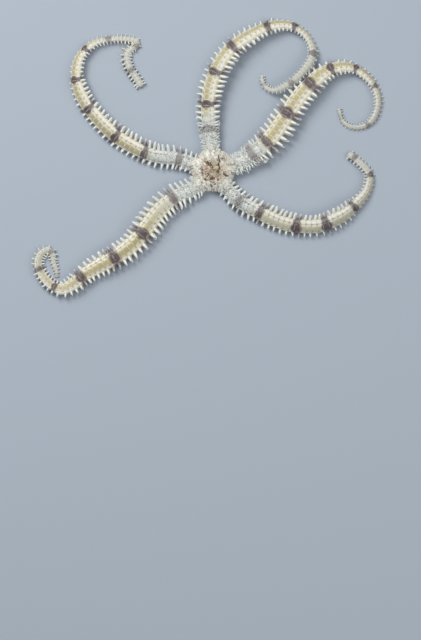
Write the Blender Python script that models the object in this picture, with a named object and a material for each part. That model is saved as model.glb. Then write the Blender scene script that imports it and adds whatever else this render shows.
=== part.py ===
"""Brittle star at life size, lying on the floor with its upper side up.

The round central disc carries five long arms that curl across the floor. Each arm is a
chain of overlapping plates with rows of blunt spines on both sides. The disc holds a
mouth of five jaws on its underside. Lengths are in millimetres unless a name says
otherwise, arms are measured along their middle line from where they leave the disc, and
the finished meshes are in metres with +Z up.
"""

import math
import random

import bmesh
import bpy
from mathutils import Matrix, Vector

NAME = "brittle_star"
MM = 0.001
SEED = 20

# Gap that neighbouring pieces keep, and how far the floor cuts into the lowest edges
GAP = 0.3
FLOOR_BITE = 0.1

# Neighbouring faces that turn less than this are merged after the pieces are joined,
# the next smaller turn where the first would open the mesh
FLAT_WITHIN_DEG = (1.5, 1.0, 0.5, 0.1)

# Middle of the disc, measured from the origin on the floor
DISC_CENTRE = Vector((1.78, -3.74))

# Disc: outline between the arms, how far its lobes reach over the arms, and its heights
DISC_RADIUS = 5.6
LOBE_REACH = 1.6
LOBE_WIDTH_DEG = 17.0
DISC_MIDDLE_Z = 2.0
DISC_TOP_Z = 4.4
DISC_UNDER_Z = 0.15
DISC_AROUND = 32
DISC_RINGS = 9

# Plates on the disc: a pair of shields over each arm, a small flat shield by each jaw
SHIELD_PLACE = 4.9
SHIELD_SPREAD = 1.05
SHIELD_SIZE = (1.35, 0.78, 0.55)
ORAL_SHIELD_PLACE = 3.85
ORAL_SHIELD_RADIUS = 0.7

# Mouth: a round recess from below, filled by five jaws with narrow slits between them
MOUTH_RADIUS = 2.95
MOUTH_DEPTH = 1.6
JAW_TIP = 0.55
JAW_REACH = 2.62
JAW_LOW_Z = 0.1
JAW_HIGH_Z = 1.3
JAW_SLIT = 0.42
JAW_COUNT = 5
FIRST_JAW_DEG = -90.0

# Arm section for a half width of 1: flat plate on top, shoulders, flanks, underside
ARM_SECTION = [
    (0.40, 0.66), (0.84, 0.36), (1.00, -0.10), (0.62, -0.66),
    (-0.62, -0.66), (-1.00, -0.10), (-0.84, 0.36), (-0.40, 0.66),
]

# Each arm segment swells from its near edge to its far edge, where the next one starts
SEGMENT_NEAR = 0.90
SEGMENT_FAR = 1.06
SEGMENT_STEP = 0.14
SEGMENT_BASE_LENGTH = 1.35
SEGMENT_LENGTH_PER_WIDTH = 0.55

# Spines lean and taper, so they are a little longer than they reach past the arm's side
SPINE_LENGTH_PER_REACH = 1.05
SPINE_LENGTH_VARIES = 0.10
SPINE_SHORTEST = 0.25

# Rows of spines on each side of the arm: rise above the floor in degrees, and how many
# segments lie between two spines of the row
SPINE_ROWS = [(3.0, 1), (42.0, 2)]
SPINE_LOWEST_DEG = -48.0
SPINE_HIGHEST_DEG = 64.0
SPINE_PLACE = 0.60
SPINE_LEAN_DEG = 16.0
SPINE_SIDES = 3
SPINE_ROOT_DEPTH = 0.50
SPINE_ROOT_RADIUS = [(0.3, 0.27), (1.0, 0.32), (2.2, 0.44)]
SPINE_TIP_RADIUS = 0.13

# Arms. "route" is the middle line seen from above, from the middle of the disc.
# "half_width", "roll" and "lift" are (distance along the arm, value) pairs: half the
# width of the arm, the turn of its upper side towards the left in degrees, and its
# height above the floor, and so are "left_spines" and "right_spines": how far the spines
# reach past that side. "lengths" are the places where one length meets the next.
ARMS = {
    "arm_a": {
        "route": [
            (-4.7, 1.4), (-10.7, 3.5), (-16.9, 4.2), (-23.4, 6.7), (-29.9, 10.9),
            (-35.1, 16.1), (-39.1, 21.4), (-41.1, 27.4), (-40.0, 34.0), (-35.5, 38.2),
            (-30.1, 39.4), (-25.2, 39.3), (-23.2, 38.7), (-23.0, 37.6), (-24.5, 36.6),
            (-25.8, 35.2), (-25.8, 32.9), (-24.9, 30.4), (-23.2, 27.9), (-21.8, 25.5),
        ],
        "half_width": [
            (0, 1.8), (12, 2.0), (30, 2.1), (42, 1.85), (50, 1.6), (57, 1.3),
            (64, 0.95), (72, 0.85), (80, 0.95), (89, 0.95),
        ],
        "roll": [(0, 12), (8, 25), (20, 35), (45, 38), (62, 50), (70, 45), (76, 0), (89, 0)],
        "lift": [(0, 0), (89, 0)],
        "left_spines": [
            (0, 1.2), (8, 1.65), (20, 1.4), (38, 1.2), (44, 0.7), (56, 0.35), (89, 0.4),
        ],
        "right_spines": [
            (0, 1.4), (8, 2.0), (26, 2.0), (31, 1.45), (44, 1.4), (50, 0.85), (66, 0.45), (78, 0.8),
            (89, 0.6),
        ],
        "lengths": [15, 30, 45, 58.5, 76.5],
    },
    "arm_b": {
        "route": [
            (-0.6, 6.2), (-1.1, 9.8), (-1.4, 14.5), (-1.5, 19.9), (-1.0, 24.3),
            (0.4, 28.7), (2.4, 32.7), (5.3, 36.3), (10.0, 39.7), (14.8, 42.3),
            (19.9, 43.6), (24.6, 42.8), (28.1, 40.0), (29.8, 35.8), (29.0, 32.5),
            (25.9, 28.6), (22.3, 25.7), (18.1, 23.9), (15.7, 24.9), (14.6, 27.0),
            (14.5, 28.5),
        ],
        "half_width": [
            (0, 1.9), (12, 2.1), (36, 2.2), (44, 1.8), (51, 1.45), (56, 1.15),
            (66, 1.0), (75, 0.85), (82, 0.6), (88, 0.38),
        ],
        "roll": [(0, 12), (10, 27), (30, 38), (48, 48), (58, 52), (64, 20), (88, 10)],
        "lift": [(0, 0), (59, 0), (67, 2.0), (79, 2.0), (86, 0), (88, 0)],
        "left_spines": [
            (0, 1.2), (10, 1.6), (18, 1.5), (30, 1.2), (44, 1.1), (50, 0.4), (56, 0.3), (66, 0.4), (88, 0.25),
        ],
        "right_spines": [
            (0, 1.3), (10, 1.5), (18, 2.1), (28, 2.05), (36, 1.4), (44, 1.1), (50, 0.6), (58, 0.3), (88, 0.3),
        ],
        "lengths": [15, 30, 45, 57, 67.5, 78.5],
    },
    "arm_c": {
        "route": [
            (5.0, 1.2), (8.6, 2.8), (12.6, 5.5), (16.6, 9.0), (20.4, 14.0),
            (23.2, 18.2), (26.2, 22.5), (29.2, 25.7), (32.4, 28.6), (35.8, 30.4),
            (39.7, 31.0), (43.2, 30.0), (46.3, 27.7), (48.4, 24.7), (49.4, 21.1),
            (48.9, 17.6), (47.3, 14.7), (44.5, 13.0), (41.1, 13.1), (38.7, 14.9),
            (37.8, 17.6), (37.6, 18.5),
        ],
        "half_width": [
            (0, 2.0), (15, 2.35), (36, 2.4), (45, 1.8), (51, 1.4), (58, 1.1),
            (66, 0.95), (74, 0.7), (83, 0.4),
        ],
        "roll": [(0, 5), (15, 12), (32, 20), (42, 30), (52, 48), (70, 48), (83, 20)],
        "lift": [(0, 0), (83, 0)],
        "left_spines": [
            (0, 1.5), (8, 1.9), (24, 1.95), (36, 1.5), (44, 0.8), (54, 0.45), (64, 0.4), (83, 0.25),
        ],
        "right_spines": [
            (0, 1.8), (8, 2.3), (16, 2.5), (26, 1.75), (32, 1.75), (42, 0.95), (50, 0.4), (83, 0.25),
        ],
        "lengths": [16.5, 33, 46.5, 58.5, 70.5],
    },
    "arm_d": {
        "route": [
            (3.2, -4.5), (6.1, -7.6), (9.4, -10.2), (13.5, -12.4), (17.4, -14.4),
            (22.1, -16.1), (26.8, -16.7), (31.5, -16.6), (35.6, -15.1), (39.8, -12.8),
            (43.0, -9.8), (45.9, -6.2), (46.9, -2.1), (45.9, 0.3), (43.6, 2.6),
            (40.8, 4.8),
        ],
        "half_width": [
            (0, 1.8), (14, 2.1), (36, 2.1), (45, 1.6), (52, 1.2), (60, 1.05), (65, 0.9),
        ],
        "roll": [(0, -8), (12, -30), (40, -38), (48, -48), (58, -40), (65, -15)],
        "lift": [(0, 0), (65, 0)],
        "left_spines": [
            (0, 1.3), (8, 1.5), (18, 2.1), (23, 2.0), (28, 1.5), (42, 1.6), (48, 0.6), (65, 0.4),
        ],
        "right_spines": [
            (0, 1.2), (8, 1.7), (16, 1.6), (38, 1.4), (46, 0.6), (52, 0.35), (65, 0.3),
        ],
        "lengths": [15, 28.5, 40.5, 52.5],
    },
    "arm_e": {
        "route": [
            (-4.0, -4.4), (-8.2, -6.5), (-12.4, -8.7), (-15.9, -11.7), (-18.8, -15.4),
            (-21.6, -19.3), (-24.8, -22.6), (-29.2, -25.8), (-34.0, -28.5),
            (-38.2, -31.0), (-42.4, -34.4), (-45.4, -35.7), (-48.4, -34.6),
            (-51.1, -31.8), (-52.6, -28.5), (-51.9, -25.3), (-49.6, -23.8),
            (-48.3, -25.2), (-48.0, -27.4), (-47.2, -29.8), (-46.9, -31.9),
        ],
        "half_width": [
            (0, 1.9), (20, 2.3), (34, 2.3), (46, 1.9), (52, 1.6), (57, 1.25),
            (64, 1.1), (70, 0.85), (75, 0.65), (79, 0.38),
        ],
        "roll": [(0, 0), (20, 4), (40, 8), (52, -18), (64, -22), (79, 0)],
        "lift": [(0, 0), (79, 0)],
        "left_spines": [
            (0, 1.7), (8, 2.15), (30, 2.0), (36, 1.5), (48, 1.3), (54, 0.75), (66, 0.5), (79, 0.25),
        ],
        "right_spines": [
            (0, 1.8), (8, 2.3), (22, 2.2), (28, 1.7), (38, 1.9), (48, 1.4), (54, 0.8), (66, 0.6), (79, 0.25),
        ],
        "lengths": [15, 30, 45, 54, 61.5, 69.5],
    },
}

# Directions of the five arms where they leave the disc, from +X towards +Y
ARM_DIRECTIONS_DEG = {"arm_a": 164.0, "arm_b": 96.0, "arm_c": 15.0, "arm_d": -53.5, "arm_e": -133.0}

# Finish of each kind of piece: colour, roughness
FINISHES = {
    "disc_skin": ((0.52, 0.42, 0.31, 1.0), 0.75),
    "arm_plates": ((0.62, 0.55, 0.40, 1.0), 0.6),
    "jaw_plates": ((0.80, 0.74, 0.60, 1.0), 0.55),
}


def value_at(pairs, distance):
    """Read a (distance, value) profile, eased between its points."""
    if distance <= pairs[0][0]:
        return pairs[0][1]
    for (d0, v0), (d1, v1) in zip(pairs, pairs[1:]):
        if distance <= d1:
            t = (distance - d0) / (d1 - d0)
            t = t * t * (3.0 - 2.0 * t)
            return v0 + (v1 - v0) * t
    return pairs[-1][1]


def smooth_route(points, steps=16):
    """Centripetal curve through the route's points, as a dense list of points."""
    route = [Vector(p) for p in points]
    route = [2 * route[0] - route[1]] + route + [2 * route[-1] - route[-2]]
    dense = []
    for p0, p1, p2, p3 in zip(route, route[1:], route[2:], route[3:]):
        t0 = 0.0
        t1 = t0 + math.sqrt((p1 - p0).length)
        t2 = t1 + math.sqrt((p2 - p1).length)
        t3 = t2 + math.sqrt((p3 - p2).length)
        for step in range(steps):
            t = t1 + (t2 - t1) * step / steps
            a1 = p0.lerp(p1, (t - t0) / (t1 - t0))
            a2 = p1.lerp(p2, (t - t1) / (t2 - t1))
            a3 = p2.lerp(p3, (t - t2) / (t3 - t2))
            b1 = a1.lerp(a2, (t - t0) / (t2 - t0))
            b2 = a2.lerp(a3, (t - t1) / (t3 - t1))
            dense.append(b1.lerp(b2, (t - t1) / (t2 - t1)))
    dense.append(route[-2])
    return dense


class Arm:
    """One arm: its middle line, widths and frames, read by distance along it."""

    def __init__(self, name, facts):
        self.name = name
        self.facts = facts
        self.line = smooth_route(facts["route"])
        self.marks = [0.0]
        for a, b in zip(self.line, self.line[1:]):
            self.marks.append(self.marks[-1] + (b - a).length)
        self.length = self.marks[-1]
        self.joints = self.segment_ends()
        self.spans = self.length_spans()

    def flat_point(self, distance):
        """Point on the middle line seen from above, from the middle of the disc."""
        if distance <= 0.0:
            ahead = (self.line[1] - self.line[0]).normalized()
            return self.line[0] + ahead * distance
        if distance >= self.length:
            ahead = (self.line[-1] - self.line[-2]).normalized()
            return self.line[-1] + ahead * (distance - self.length)
        low, high = 0, len(self.marks) - 1
        while high - low > 1:
            middle = (low + high) // 2
            if self.marks[middle] <= distance:
                low = middle
            else:
                high = middle
        t = (distance - self.marks[low]) / (self.marks[high] - self.marks[low])
        return self.line[low].lerp(self.line[high], t)

    def half_width(self, distance):
        return value_at(self.facts["half_width"], distance)

    def height(self, distance):
        """Height of the middle line: the rolled section rests on the floor."""
        roll = math.radians(value_at(self.facts["roll"], distance))
        lowest = min(y * math.cos(roll) - x * math.sin(roll) for x, y in ARM_SECTION)
        rest = -lowest * self.half_width(distance) * SEGMENT_FAR - FLOOR_BITE
        return rest + value_at(self.facts["lift"], distance)

    def middle(self, distance):
        flat = self.flat_point(distance) + DISC_CENTRE
        return Vector((flat.x, flat.y, self.height(distance)))

    def frame(self, distance):
        """Middle point, left, up and forward directions of the rolled section."""
        step = 0.25
        forward = (self.middle(distance + step) - self.middle(distance - step)).normalized()
        left = Vector((0.0, 0.0, 1.0)).cross(forward).normalized()
        up = forward.cross(left)
        roll = math.radians(value_at(self.facts["roll"], distance))
        turned_left = left * math.cos(roll) - up * math.sin(roll)
        turned_up = up * math.cos(roll) + left * math.sin(roll)
        return self.middle(distance), turned_left, turned_up, forward

    def segment_ends(self):
        """Distances at which one segment ends and the next starts."""
        ends = [0.0]
        while True:
            width = self.half_width(ends[-1])
            step = SEGMENT_BASE_LENGTH + SEGMENT_LENGTH_PER_WIDTH * width
            if ends[-1] + 1.4 * step > self.length:
                break
            ends.append(ends[-1] + step)
        ends.append(self.length)
        return ends

    def length_spans(self):
        """Segments of each length of the arm, as lists of (start, end)."""
        segments = list(zip(self.joints, self.joints[1:]))
        borders = [0.0] + list(self.facts["lengths"]) + [self.length + 1.0]
        spans = []
        for low, high in zip(borders, borders[1:]):
            spans.append([s for s in segments if low <= (s[0] + s[1]) / 2 < high])
        return spans


def new_object(name, bm, collection):
    """Turn a bmesh drawn in millimetres into an object in metres."""
    bmesh.ops.scale(bm, vec=(MM, MM, MM), verts=bm.verts)
    bmesh.ops.triangulate(bm, faces=bm.faces)
    bmesh.ops.recalc_face_normals(bm, faces=bm.faces)
    mesh = bpy.data.meshes.new(name)
    bm.to_mesh(mesh)
    bm.free()
    obj = bpy.data.objects.new(name, mesh)
    collection.objects.link(obj)
    return obj


def apply_modifiers(obj):
    """Keep the evaluated mesh as the object's own."""
    depsgraph = bpy.context.evaluated_depsgraph_get()
    mesh = bpy.data.meshes.new_from_object(obj.evaluated_get(depsgraph))
    old = obj.data
    obj.modifiers.clear()
    obj.data = mesh
    bpy.data.meshes.remove(old)


def unite(obj, pieces):
    """Join the pieces of a collection to the object, then remove them."""
    joint = obj.modifiers.new("pieces", "BOOLEAN")
    joint.operation = "UNION"
    joint.operand_type = "COLLECTION"
    joint.collection = pieces
    apply_modifiers(obj)
    for piece in list(pieces.objects):
        mesh = piece.data
        bpy.data.objects.remove(piece)
        bpy.data.meshes.remove(mesh)


def cut(obj, cutter):
    """Take the cutter's shape away from the object."""
    difference = obj.modifiers.new("cut", "BOOLEAN")
    difference.operation = "DIFFERENCE"
    difference.object = cutter
    apply_modifiers(obj)


def keep_largest(obj):
    """Keep only the largest closed surface of the mesh."""
    bm = bmesh.new()
    bm.from_mesh(obj.data)
    bmesh.ops.remove_doubles(bm, verts=bm.verts, dist=1e-8)
    unseen = set(bm.faces)
    groups = []
    while unseen:
        group = set()
        edge_of_group = [unseen.pop()]
        while edge_of_group:
            face = edge_of_group.pop()
            group.add(face)
            for edge in face.edges:
                for other in edge.link_faces:
                    if other in unseen:
                        unseen.discard(other)
                        edge_of_group.append(other)
        groups.append(group)
    groups.sort(key=lambda group: sum(face.calc_area() for face in group))
    loose = [face for group in groups[:-1] for face in group]
    if loose:
        bmesh.ops.delete(bm, geom=loose, context="FACES")
    bm.to_mesh(obj.data)
    bm.free()


def merge_flat_faces(obj):
    """Merge neighbouring faces that turn little, as far as the mesh stays closed."""
    for degrees in FLAT_WITHIN_DEG:
        bm = bmesh.new()
        bm.from_mesh(obj.data)
        bmesh.ops.dissolve_limit(
            bm, angle_limit=math.radians(degrees), use_dissolve_boundaries=False,
            verts=bm.verts, edges=bm.edges, delimit=set(),
        )
        bmesh.ops.triangulate(bm, faces=bm.faces)
        closed = all(edge.is_manifold for edge in bm.edges)
        if closed:
            bm.to_mesh(obj.data)
        bm.free()
        if closed:
            break


def sweep(arm, stations):
    """Loft the section along an arm. Stations are (distance, factor, margin)."""
    bm = bmesh.new()
    corner = bm.verts.layers.int.new("corner")
    ring = bmesh.ops.create_circle(bm, radius=1.0, segments=len(ARM_SECTION))["verts"]
    for index, vert in enumerate(ring):
        vert[corner] = index
    edges = list(bm.edges)
    for number, (distance, factor, margin) in enumerate(stations):
        if number:
            grown = bmesh.ops.extrude_edge_only(bm, edges=edges)["geom"]
            ring = [item for item in grown if isinstance(item, bmesh.types.BMVert)]
            edges = [item for item in grown if isinstance(item, bmesh.types.BMEdge)]
        middle, left, up, _ = arm.frame(distance)
        scale = arm.half_width(distance) * factor + margin
        for vert in ring:
            x, y = ARM_SECTION[vert[corner]]
            vert.co = middle + left * (x * scale) + up * (y * scale)
    bmesh.ops.holes_fill(bm, edges=bm.edges, sides=len(ARM_SECTION))
    return bm


def arm_stations(arm, segments):
    """Two rings a segment, swelling towards its far edge."""
    stations = []
    for start, end in segments:
        step = end - start
        stations.append((start + SEGMENT_STEP * step, SEGMENT_NEAR, 0.0))
        stations.append((end, SEGMENT_FAR, 0.0))
    first, last = segments[0][0], segments[-1][1]
    near_end = last - GAP / 2 if last < arm.length else last
    stations[0] = (first + GAP / 2, SEGMENT_NEAR, 0.0)
    stations[-1] = (near_end, SEGMENT_FAR, 0.0)
    if last >= arm.length:
        stations.append((last + 0.35 * arm.half_width(last), 0.55, 0.0))
    return stations


def section_reach(turn):
    """Distance from the middle of the unit section to its outline, in a direction."""
    direction = Vector((math.cos(turn), math.sin(turn)))
    corners = [Vector(corner) for corner in ARM_SECTION]
    for a, b in zip(corners, corners[1:] + corners[:1]):
        side = b - a
        across = direction.x * side.y - direction.y * side.x
        if abs(across) < 1e-9:
            continue
        along_ray = (a.x * side.y - a.y * side.x) / across
        along_side = (a.x * direction.y - a.y * direction.x) / across
        if along_ray > 0 and -1e-9 <= along_side <= 1.0 + 1e-9:
            return along_ray
    return 1.0


class Spine:
    """One spine: a tapered spike from inside the arm to its tip."""

    def __init__(self, arm, node, distance, side, rise):
        self.arm = arm
        self.node = node
        self.distance = distance
        middle, left, up, forward = arm.frame(distance)
        width = arm.half_width(distance)
        roll = value_at(arm.facts["roll"], distance) * side
        turn = min(max(rise + roll, SPINE_LOWEST_DEG), SPINE_HIGHEST_DEG)
        turn = math.radians(turn)
        outward = left * (side * math.cos(turn)) + up * math.sin(turn)
        lean = math.radians(SPINE_LEAN_DEG + random.uniform(-5, 5))
        surface = section_reach(turn) * width
        reach = value_at(arm.facts["left_spines" if side > 0 else "right_spines"], distance)
        reach *= SPINE_LENGTH_PER_REACH * (1.0 + random.uniform(-1, 1) * SPINE_LENGTH_VARIES)
        self.root = middle + outward * (surface * SPINE_ROOT_DEPTH)
        self.skin = middle + outward * surface
        self.direction = (outward * math.cos(lean) + forward * math.sin(lean)).normalized()
        self.reach = reach
        self.root_radius = value_at(SPINE_ROOT_RADIUS, width)

    def tip(self):
        tip = self.skin + self.direction * self.reach
        tip.z = max(tip.z, SPINE_TIP_RADIUS)
        return tip

    def checked_points(self):
        """Points from the skin to the tip, each with the spine's radius there."""
        tip = self.tip()
        shares = (0.0, 0.35, 0.7, 1.0)
        radii = [self.root_radius * 0.85 + (SPINE_TIP_RADIUS - self.root_radius) * s for s in shares]
        return [(self.skin.lerp(tip, s), max(r, SPINE_TIP_RADIUS)) for s, r in zip(shares, radii)]

    def build(self, pieces):
        axis = self.tip() - self.root
        turn = Vector((0.0, 0.0, 1.0)).rotation_difference(axis).to_matrix().to_4x4()
        place = Matrix.Translation(self.root + axis / 2) @ turn
        bm = bmesh.new()
        bmesh.ops.create_cone(
            bm, cap_ends=True, segments=SPINE_SIDES, radius1=self.root_radius,
            radius2=SPINE_TIP_RADIUS, depth=axis.length, matrix=place,
        )
        return new_object("spine", bm, pieces)


def arm_beads(arms):
    """Points along every arm, with the arm's node and radius there."""
    beads = []
    for arm in arms:
        for number, segments in enumerate(arm.spans, start=1):
            start, end = segments[0][0], segments[-1][1]
            steps = max(2, round((end - start) / 0.5))
            for step in range(steps + 1):
                distance = start + (end - start) * step / steps
                radius = arm.half_width(distance) * SEGMENT_FAR
                beads.append((arm, (arm.name, number), distance, arm.middle(distance), radius))
    return beads


def clear_of_arms(spine, beads):
    """True where the spine keeps the gap to the disc and to every other length."""
    points = spine.checked_points()
    for point, radius in points:
        flat = point.xy - DISC_CENTRE
        if flat.length < disc_reach(math.atan2(flat.y, flat.x)) + radius + GAP:
            return False
    for arm, node, distance, middle, bead_radius in beads:
        if node == spine.node:
            continue
        near = arm is spine.arm and abs(distance - spine.distance) < 2.5
        for point, radius in points[2:] if near else points:
            if (point - middle).length < bead_radius + radius + GAP:
                return False
    return True


def clear_of_spines(spine, others):
    """True where the spine keeps the gap to the spines of every other length."""
    points = spine.checked_points()
    for other in others:
        if other.node == spine.node or (other.skin - spine.skin).length > 7.0:
            continue
        for point, radius in points:
            for other_point, other_radius in other.checked_points():
                if (point - other_point).length < radius + other_radius + GAP:
                    return False
    return True


def plan_spines(arms):
    """Every spine of every arm, shortened or left out where it would touch."""
    beads = arm_beads(arms)
    spines = []
    for arm in arms:
        for number, segments in enumerate(arm.spans, start=1):
            for index, (start, end) in enumerate(segments):
                distance = start + (end - start) * SPINE_PLACE
                for rise, every in SPINE_ROWS:
                    for side in (-1, 1):
                        if (index + (side > 0)) % every:
                            continue
                        spine = Spine(arm, (arm.name, number), distance, side, rise)
                        while spine.reach > SPINE_SHORTEST:
                            if clear_of_arms(spine, beads) and clear_of_spines(spine, spines):
                                spines.append(spine)
                                break
                            spine.reach *= 0.85
    return spines


def make_arm_length(arm, number, segments, spines, parts, pieces, floor):
    """One length of an arm with its spines."""
    obj = new_object(f"{arm.name}_{number}", sweep(arm, arm_stations(arm, segments)), parts)
    for spine in spines:
        if spine.node == (arm.name, number):
            spine.build(pieces)
    unite(obj, pieces)
    cut(obj, floor)
    keep_largest(obj)
    merge_flat_faces(obj)
    return obj


def disc_reach(angle):
    """Radius of the disc's outline in a direction, in radians."""
    reach = DISC_RADIUS
    for degrees in ARM_DIRECTIONS_DEG.values():
        off = math.degrees(math.remainder(angle - math.radians(degrees), 2 * math.pi))
        reach += LOBE_REACH * math.exp(-((off / LOBE_WIDTH_DEG) ** 2))
    return reach


def disc_body():
    """The disc: a flattened ball with a lobe over each arm and a flat underside."""
    bm = bmesh.new()
    bmesh.ops.create_uvsphere(bm, u_segments=DISC_AROUND, v_segments=DISC_RINGS, radius=1.0)
    for vert in bm.verts:
        x, y, z = vert.co
        across = math.hypot(x, y)
        angle = math.atan2(y, x)
        reach = disc_reach(angle) * across ** 0.75
        if z > 0:
            height = DISC_MIDDLE_Z + (DISC_TOP_Z - DISC_MIDDLE_Z) * z
        else:
            height = DISC_MIDDLE_Z + (DISC_MIDDLE_Z - DISC_UNDER_Z) * max(-1.0, 1.25 * z)
        vert.co = (
            DISC_CENTRE.x + reach * math.cos(angle),
            DISC_CENTRE.y + reach * math.sin(angle),
            height,
        )
    return bm


def disc_height(radius, angle):
    """Height of the disc's upper side at a place, for setting plates on it."""
    share = min(1.0, radius / disc_reach(angle)) ** (1.0 / 0.75)
    return DISC_MIDDLE_Z + (DISC_TOP_Z - DISC_MIDDLE_Z) * math.sqrt(1.0 - share * share)


def radial_shields(pieces):
    """Two raised plates on the disc over each arm."""
    for name, degrees in ARM_DIRECTIONS_DEG.items():
        direction = math.radians(degrees)
        for side in (-1, 1):
            across = math.atan2(side * SHIELD_SPREAD, SHIELD_PLACE)
            radius = math.hypot(SHIELD_PLACE, SHIELD_SPREAD)
            angle = direction + across
            height = disc_height(radius, angle)
            place = Vector((radius * math.cos(angle), radius * math.sin(angle), height - 0.1))
            place += DISC_CENTRE.to_3d()
            slope = Matrix.Rotation(math.radians(24), 4, "Y")
            turn = Matrix.Rotation(direction, 4, "Z") @ slope
            bm = bmesh.new()
            bmesh.ops.create_icosphere(bm, subdivisions=1, radius=1.0)
            bmesh.ops.scale(bm, vec=SHIELD_SIZE, verts=bm.verts)
            bmesh.ops.transform(bm, matrix=Matrix.Translation(place) @ turn, verts=bm.verts)
            new_object(f"shield_{name}_{side}", bm, pieces)


def jaw_directions():
    """Directions of the jaws, evenly round the mouth, in radians."""
    return [math.radians(FIRST_JAW_DEG + 360.0 * k / JAW_COUNT) for k in range(JAW_COUNT)]


def oral_shields(pieces):
    """Small plates on the underside between the arms: the flats that it rests on."""
    for number, angle in enumerate(jaw_directions()):
        low, high = 0.0, 0.9
        place = Vector((math.cos(angle), math.sin(angle), 0.0)) * ORAL_SHIELD_PLACE
        place += DISC_CENTRE.to_3d() + Vector((0.0, 0.0, (low + high) / 2))
        matrix = Matrix.Translation(place) @ Matrix.Rotation(angle, 4, "Z")
        bm = bmesh.new()
        bmesh.ops.create_cone(
            bm, cap_ends=True, segments=8, radius1=ORAL_SHIELD_RADIUS,
            radius2=ORAL_SHIELD_RADIUS, depth=high - low, matrix=matrix,
        )
        new_object(f"oral_shield_{number}", bm, pieces)


def mouth_cutter(cutters):
    """Round recess that holds the jaws."""
    bm = bmesh.new()
    depth = MOUTH_DEPTH + 1.0
    place = Matrix.Translation(DISC_CENTRE.to_3d() + Vector((0.0, 0.0, MOUTH_DEPTH - depth / 2)))
    bmesh.ops.create_cone(
        bm, cap_ends=True, segments=20, radius1=MOUTH_RADIUS, radius2=MOUTH_RADIUS,
        depth=depth, matrix=place,
    )
    return new_object("mouth_cutter", bm, cutters)


def pocket_cutter(arm, cutters):
    """Room in the disc for the root of an arm, with the gap all round."""
    stations = [(-GAP / 2, SEGMENT_FAR, GAP), (1.5, SEGMENT_FAR, GAP), (4.0, SEGMENT_FAR, GAP)]
    return new_object(f"pocket_{arm.name}", sweep(arm, stations), cutters)


def make_disc(arms, parts, pieces, cutters):
    obj = new_object("disc", disc_body(), parts)
    radial_shields(pieces)
    oral_shields(pieces)
    unite(obj, pieces)
    cut(obj, mouth_cutter(cutters))
    for arm in arms:
        cut(obj, pocket_cutter(arm, cutters))
    keep_largest(obj)
    merge_flat_faces(obj)
    return obj


def jaw_outline():
    """Wedge between two slits, pointing at the middle of the mouth along -X."""
    half = math.pi / JAW_COUNT
    inner = JAW_TIP + 0.25
    points = [(JAW_TIP, 0.0)]
    for radius in (inner, JAW_REACH):
        wide = radius * math.sin(half) - JAW_SLIT / 2
        points.append((math.sqrt(radius ** 2 - wide ** 2), wide))
    points.append((JAW_REACH, 0.0))
    lower = [(x, -y) for x, y in points[1:-1]]
    return points + lower[::-1]


def make_jaw(number, angle, parts):
    """One jaw: a wedge, narrower at its upper end."""
    outline = jaw_outline()
    bm = bmesh.new()
    ring = bmesh.ops.create_circle(bm, cap_ends=True, radius=1.0, segments=len(outline))
    for vert, (x, y) in zip(ring["verts"], outline):
        vert.co = (x, y, JAW_LOW_Z)
    face = ring["verts"][0].link_faces[0]
    grown = bmesh.ops.extrude_face_region(bm, geom=[face])["geom"]
    upper = [item for item in grown if isinstance(item, bmesh.types.BMVert)]
    bmesh.ops.translate(bm, vec=(0.0, 0.0, JAW_HIGH_Z - JAW_LOW_Z), verts=upper)
    place = Matrix.Translation(DISC_CENTRE.to_3d()) @ Matrix.Rotation(angle, 4, "Z")
    bmesh.ops.transform(bm, matrix=place, verts=bm.verts)
    return new_object(f"jaw_{number}", bm, parts)


def floor_cutter(cutters):
    """Block below the floor that trims the undersides flat."""
    bm = bmesh.new()
    size, depth = 300.0, 10.0
    bmesh.ops.create_cube(bm, size=1.0)
    bmesh.ops.scale(bm, vec=(size, size, depth), verts=bm.verts)
    bmesh.ops.translate(bm, vec=(0.0, 0.0, -depth / 2), verts=bm.verts)
    return new_object("floor_cutter", bm, cutters)


def finish_material(name):
    colour, roughness = FINISHES[name]
    material = bpy.data.materials.new(name)
    material.use_nodes = True
    shader = material.node_tree.nodes["Principled BSDF"]
    shader.inputs["Base Color"].default_value = colour
    shader.inputs["Roughness"].default_value = roughness
    return material


def new_collection(name):
    collection = bpy.data.collections.new(name)
    bpy.context.scene.collection.children.link(collection)
    return collection


def main():
    for obj in list(bpy.data.objects):
        bpy.data.objects.remove(obj)
    random.seed(SEED)
    parts = new_collection(NAME)
    pieces = new_collection("pieces")
    cutters = new_collection("cutters")
    floor = floor_cutter(cutters)
    arms = [Arm(name, facts) for name, facts in ARMS.items()]

    plates = finish_material("arm_plates")
    spines = plan_spines(arms)
    for arm in arms:
        for number, segments in enumerate(arm.spans, start=1):
            length = make_arm_length(arm, number, segments, spines, parts, pieces, floor)
            length.data.materials.append(plates)

    disc = make_disc(arms, parts, pieces, cutters)
    disc.data.materials.append(finish_material("disc_skin"))

    jaws = finish_material("jaw_plates")
    for number, angle in enumerate(jaw_directions(), start=1):
        make_jaw(number, angle, parts).data.materials.append(jaws)

    for cutter in cutters.objects:
        cutter.hide_render = True
        cutter.display_type = "WIRE"
    bpy.data.collections.remove(pieces)


main()
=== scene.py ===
"""Brittle star: the looks of a life-size model that lies on the floor.

One skin covers the disc and the five arms. On it lie the arm plates, the spines, the
scales and shields of the disc, and the jaws of the mouth. Lengths are in millimetres
until a finished mesh is scaled to metres.
"""

import itertools
import math
import random

import bmesh
import bpy
import numpy as np
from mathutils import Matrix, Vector, noise


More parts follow.
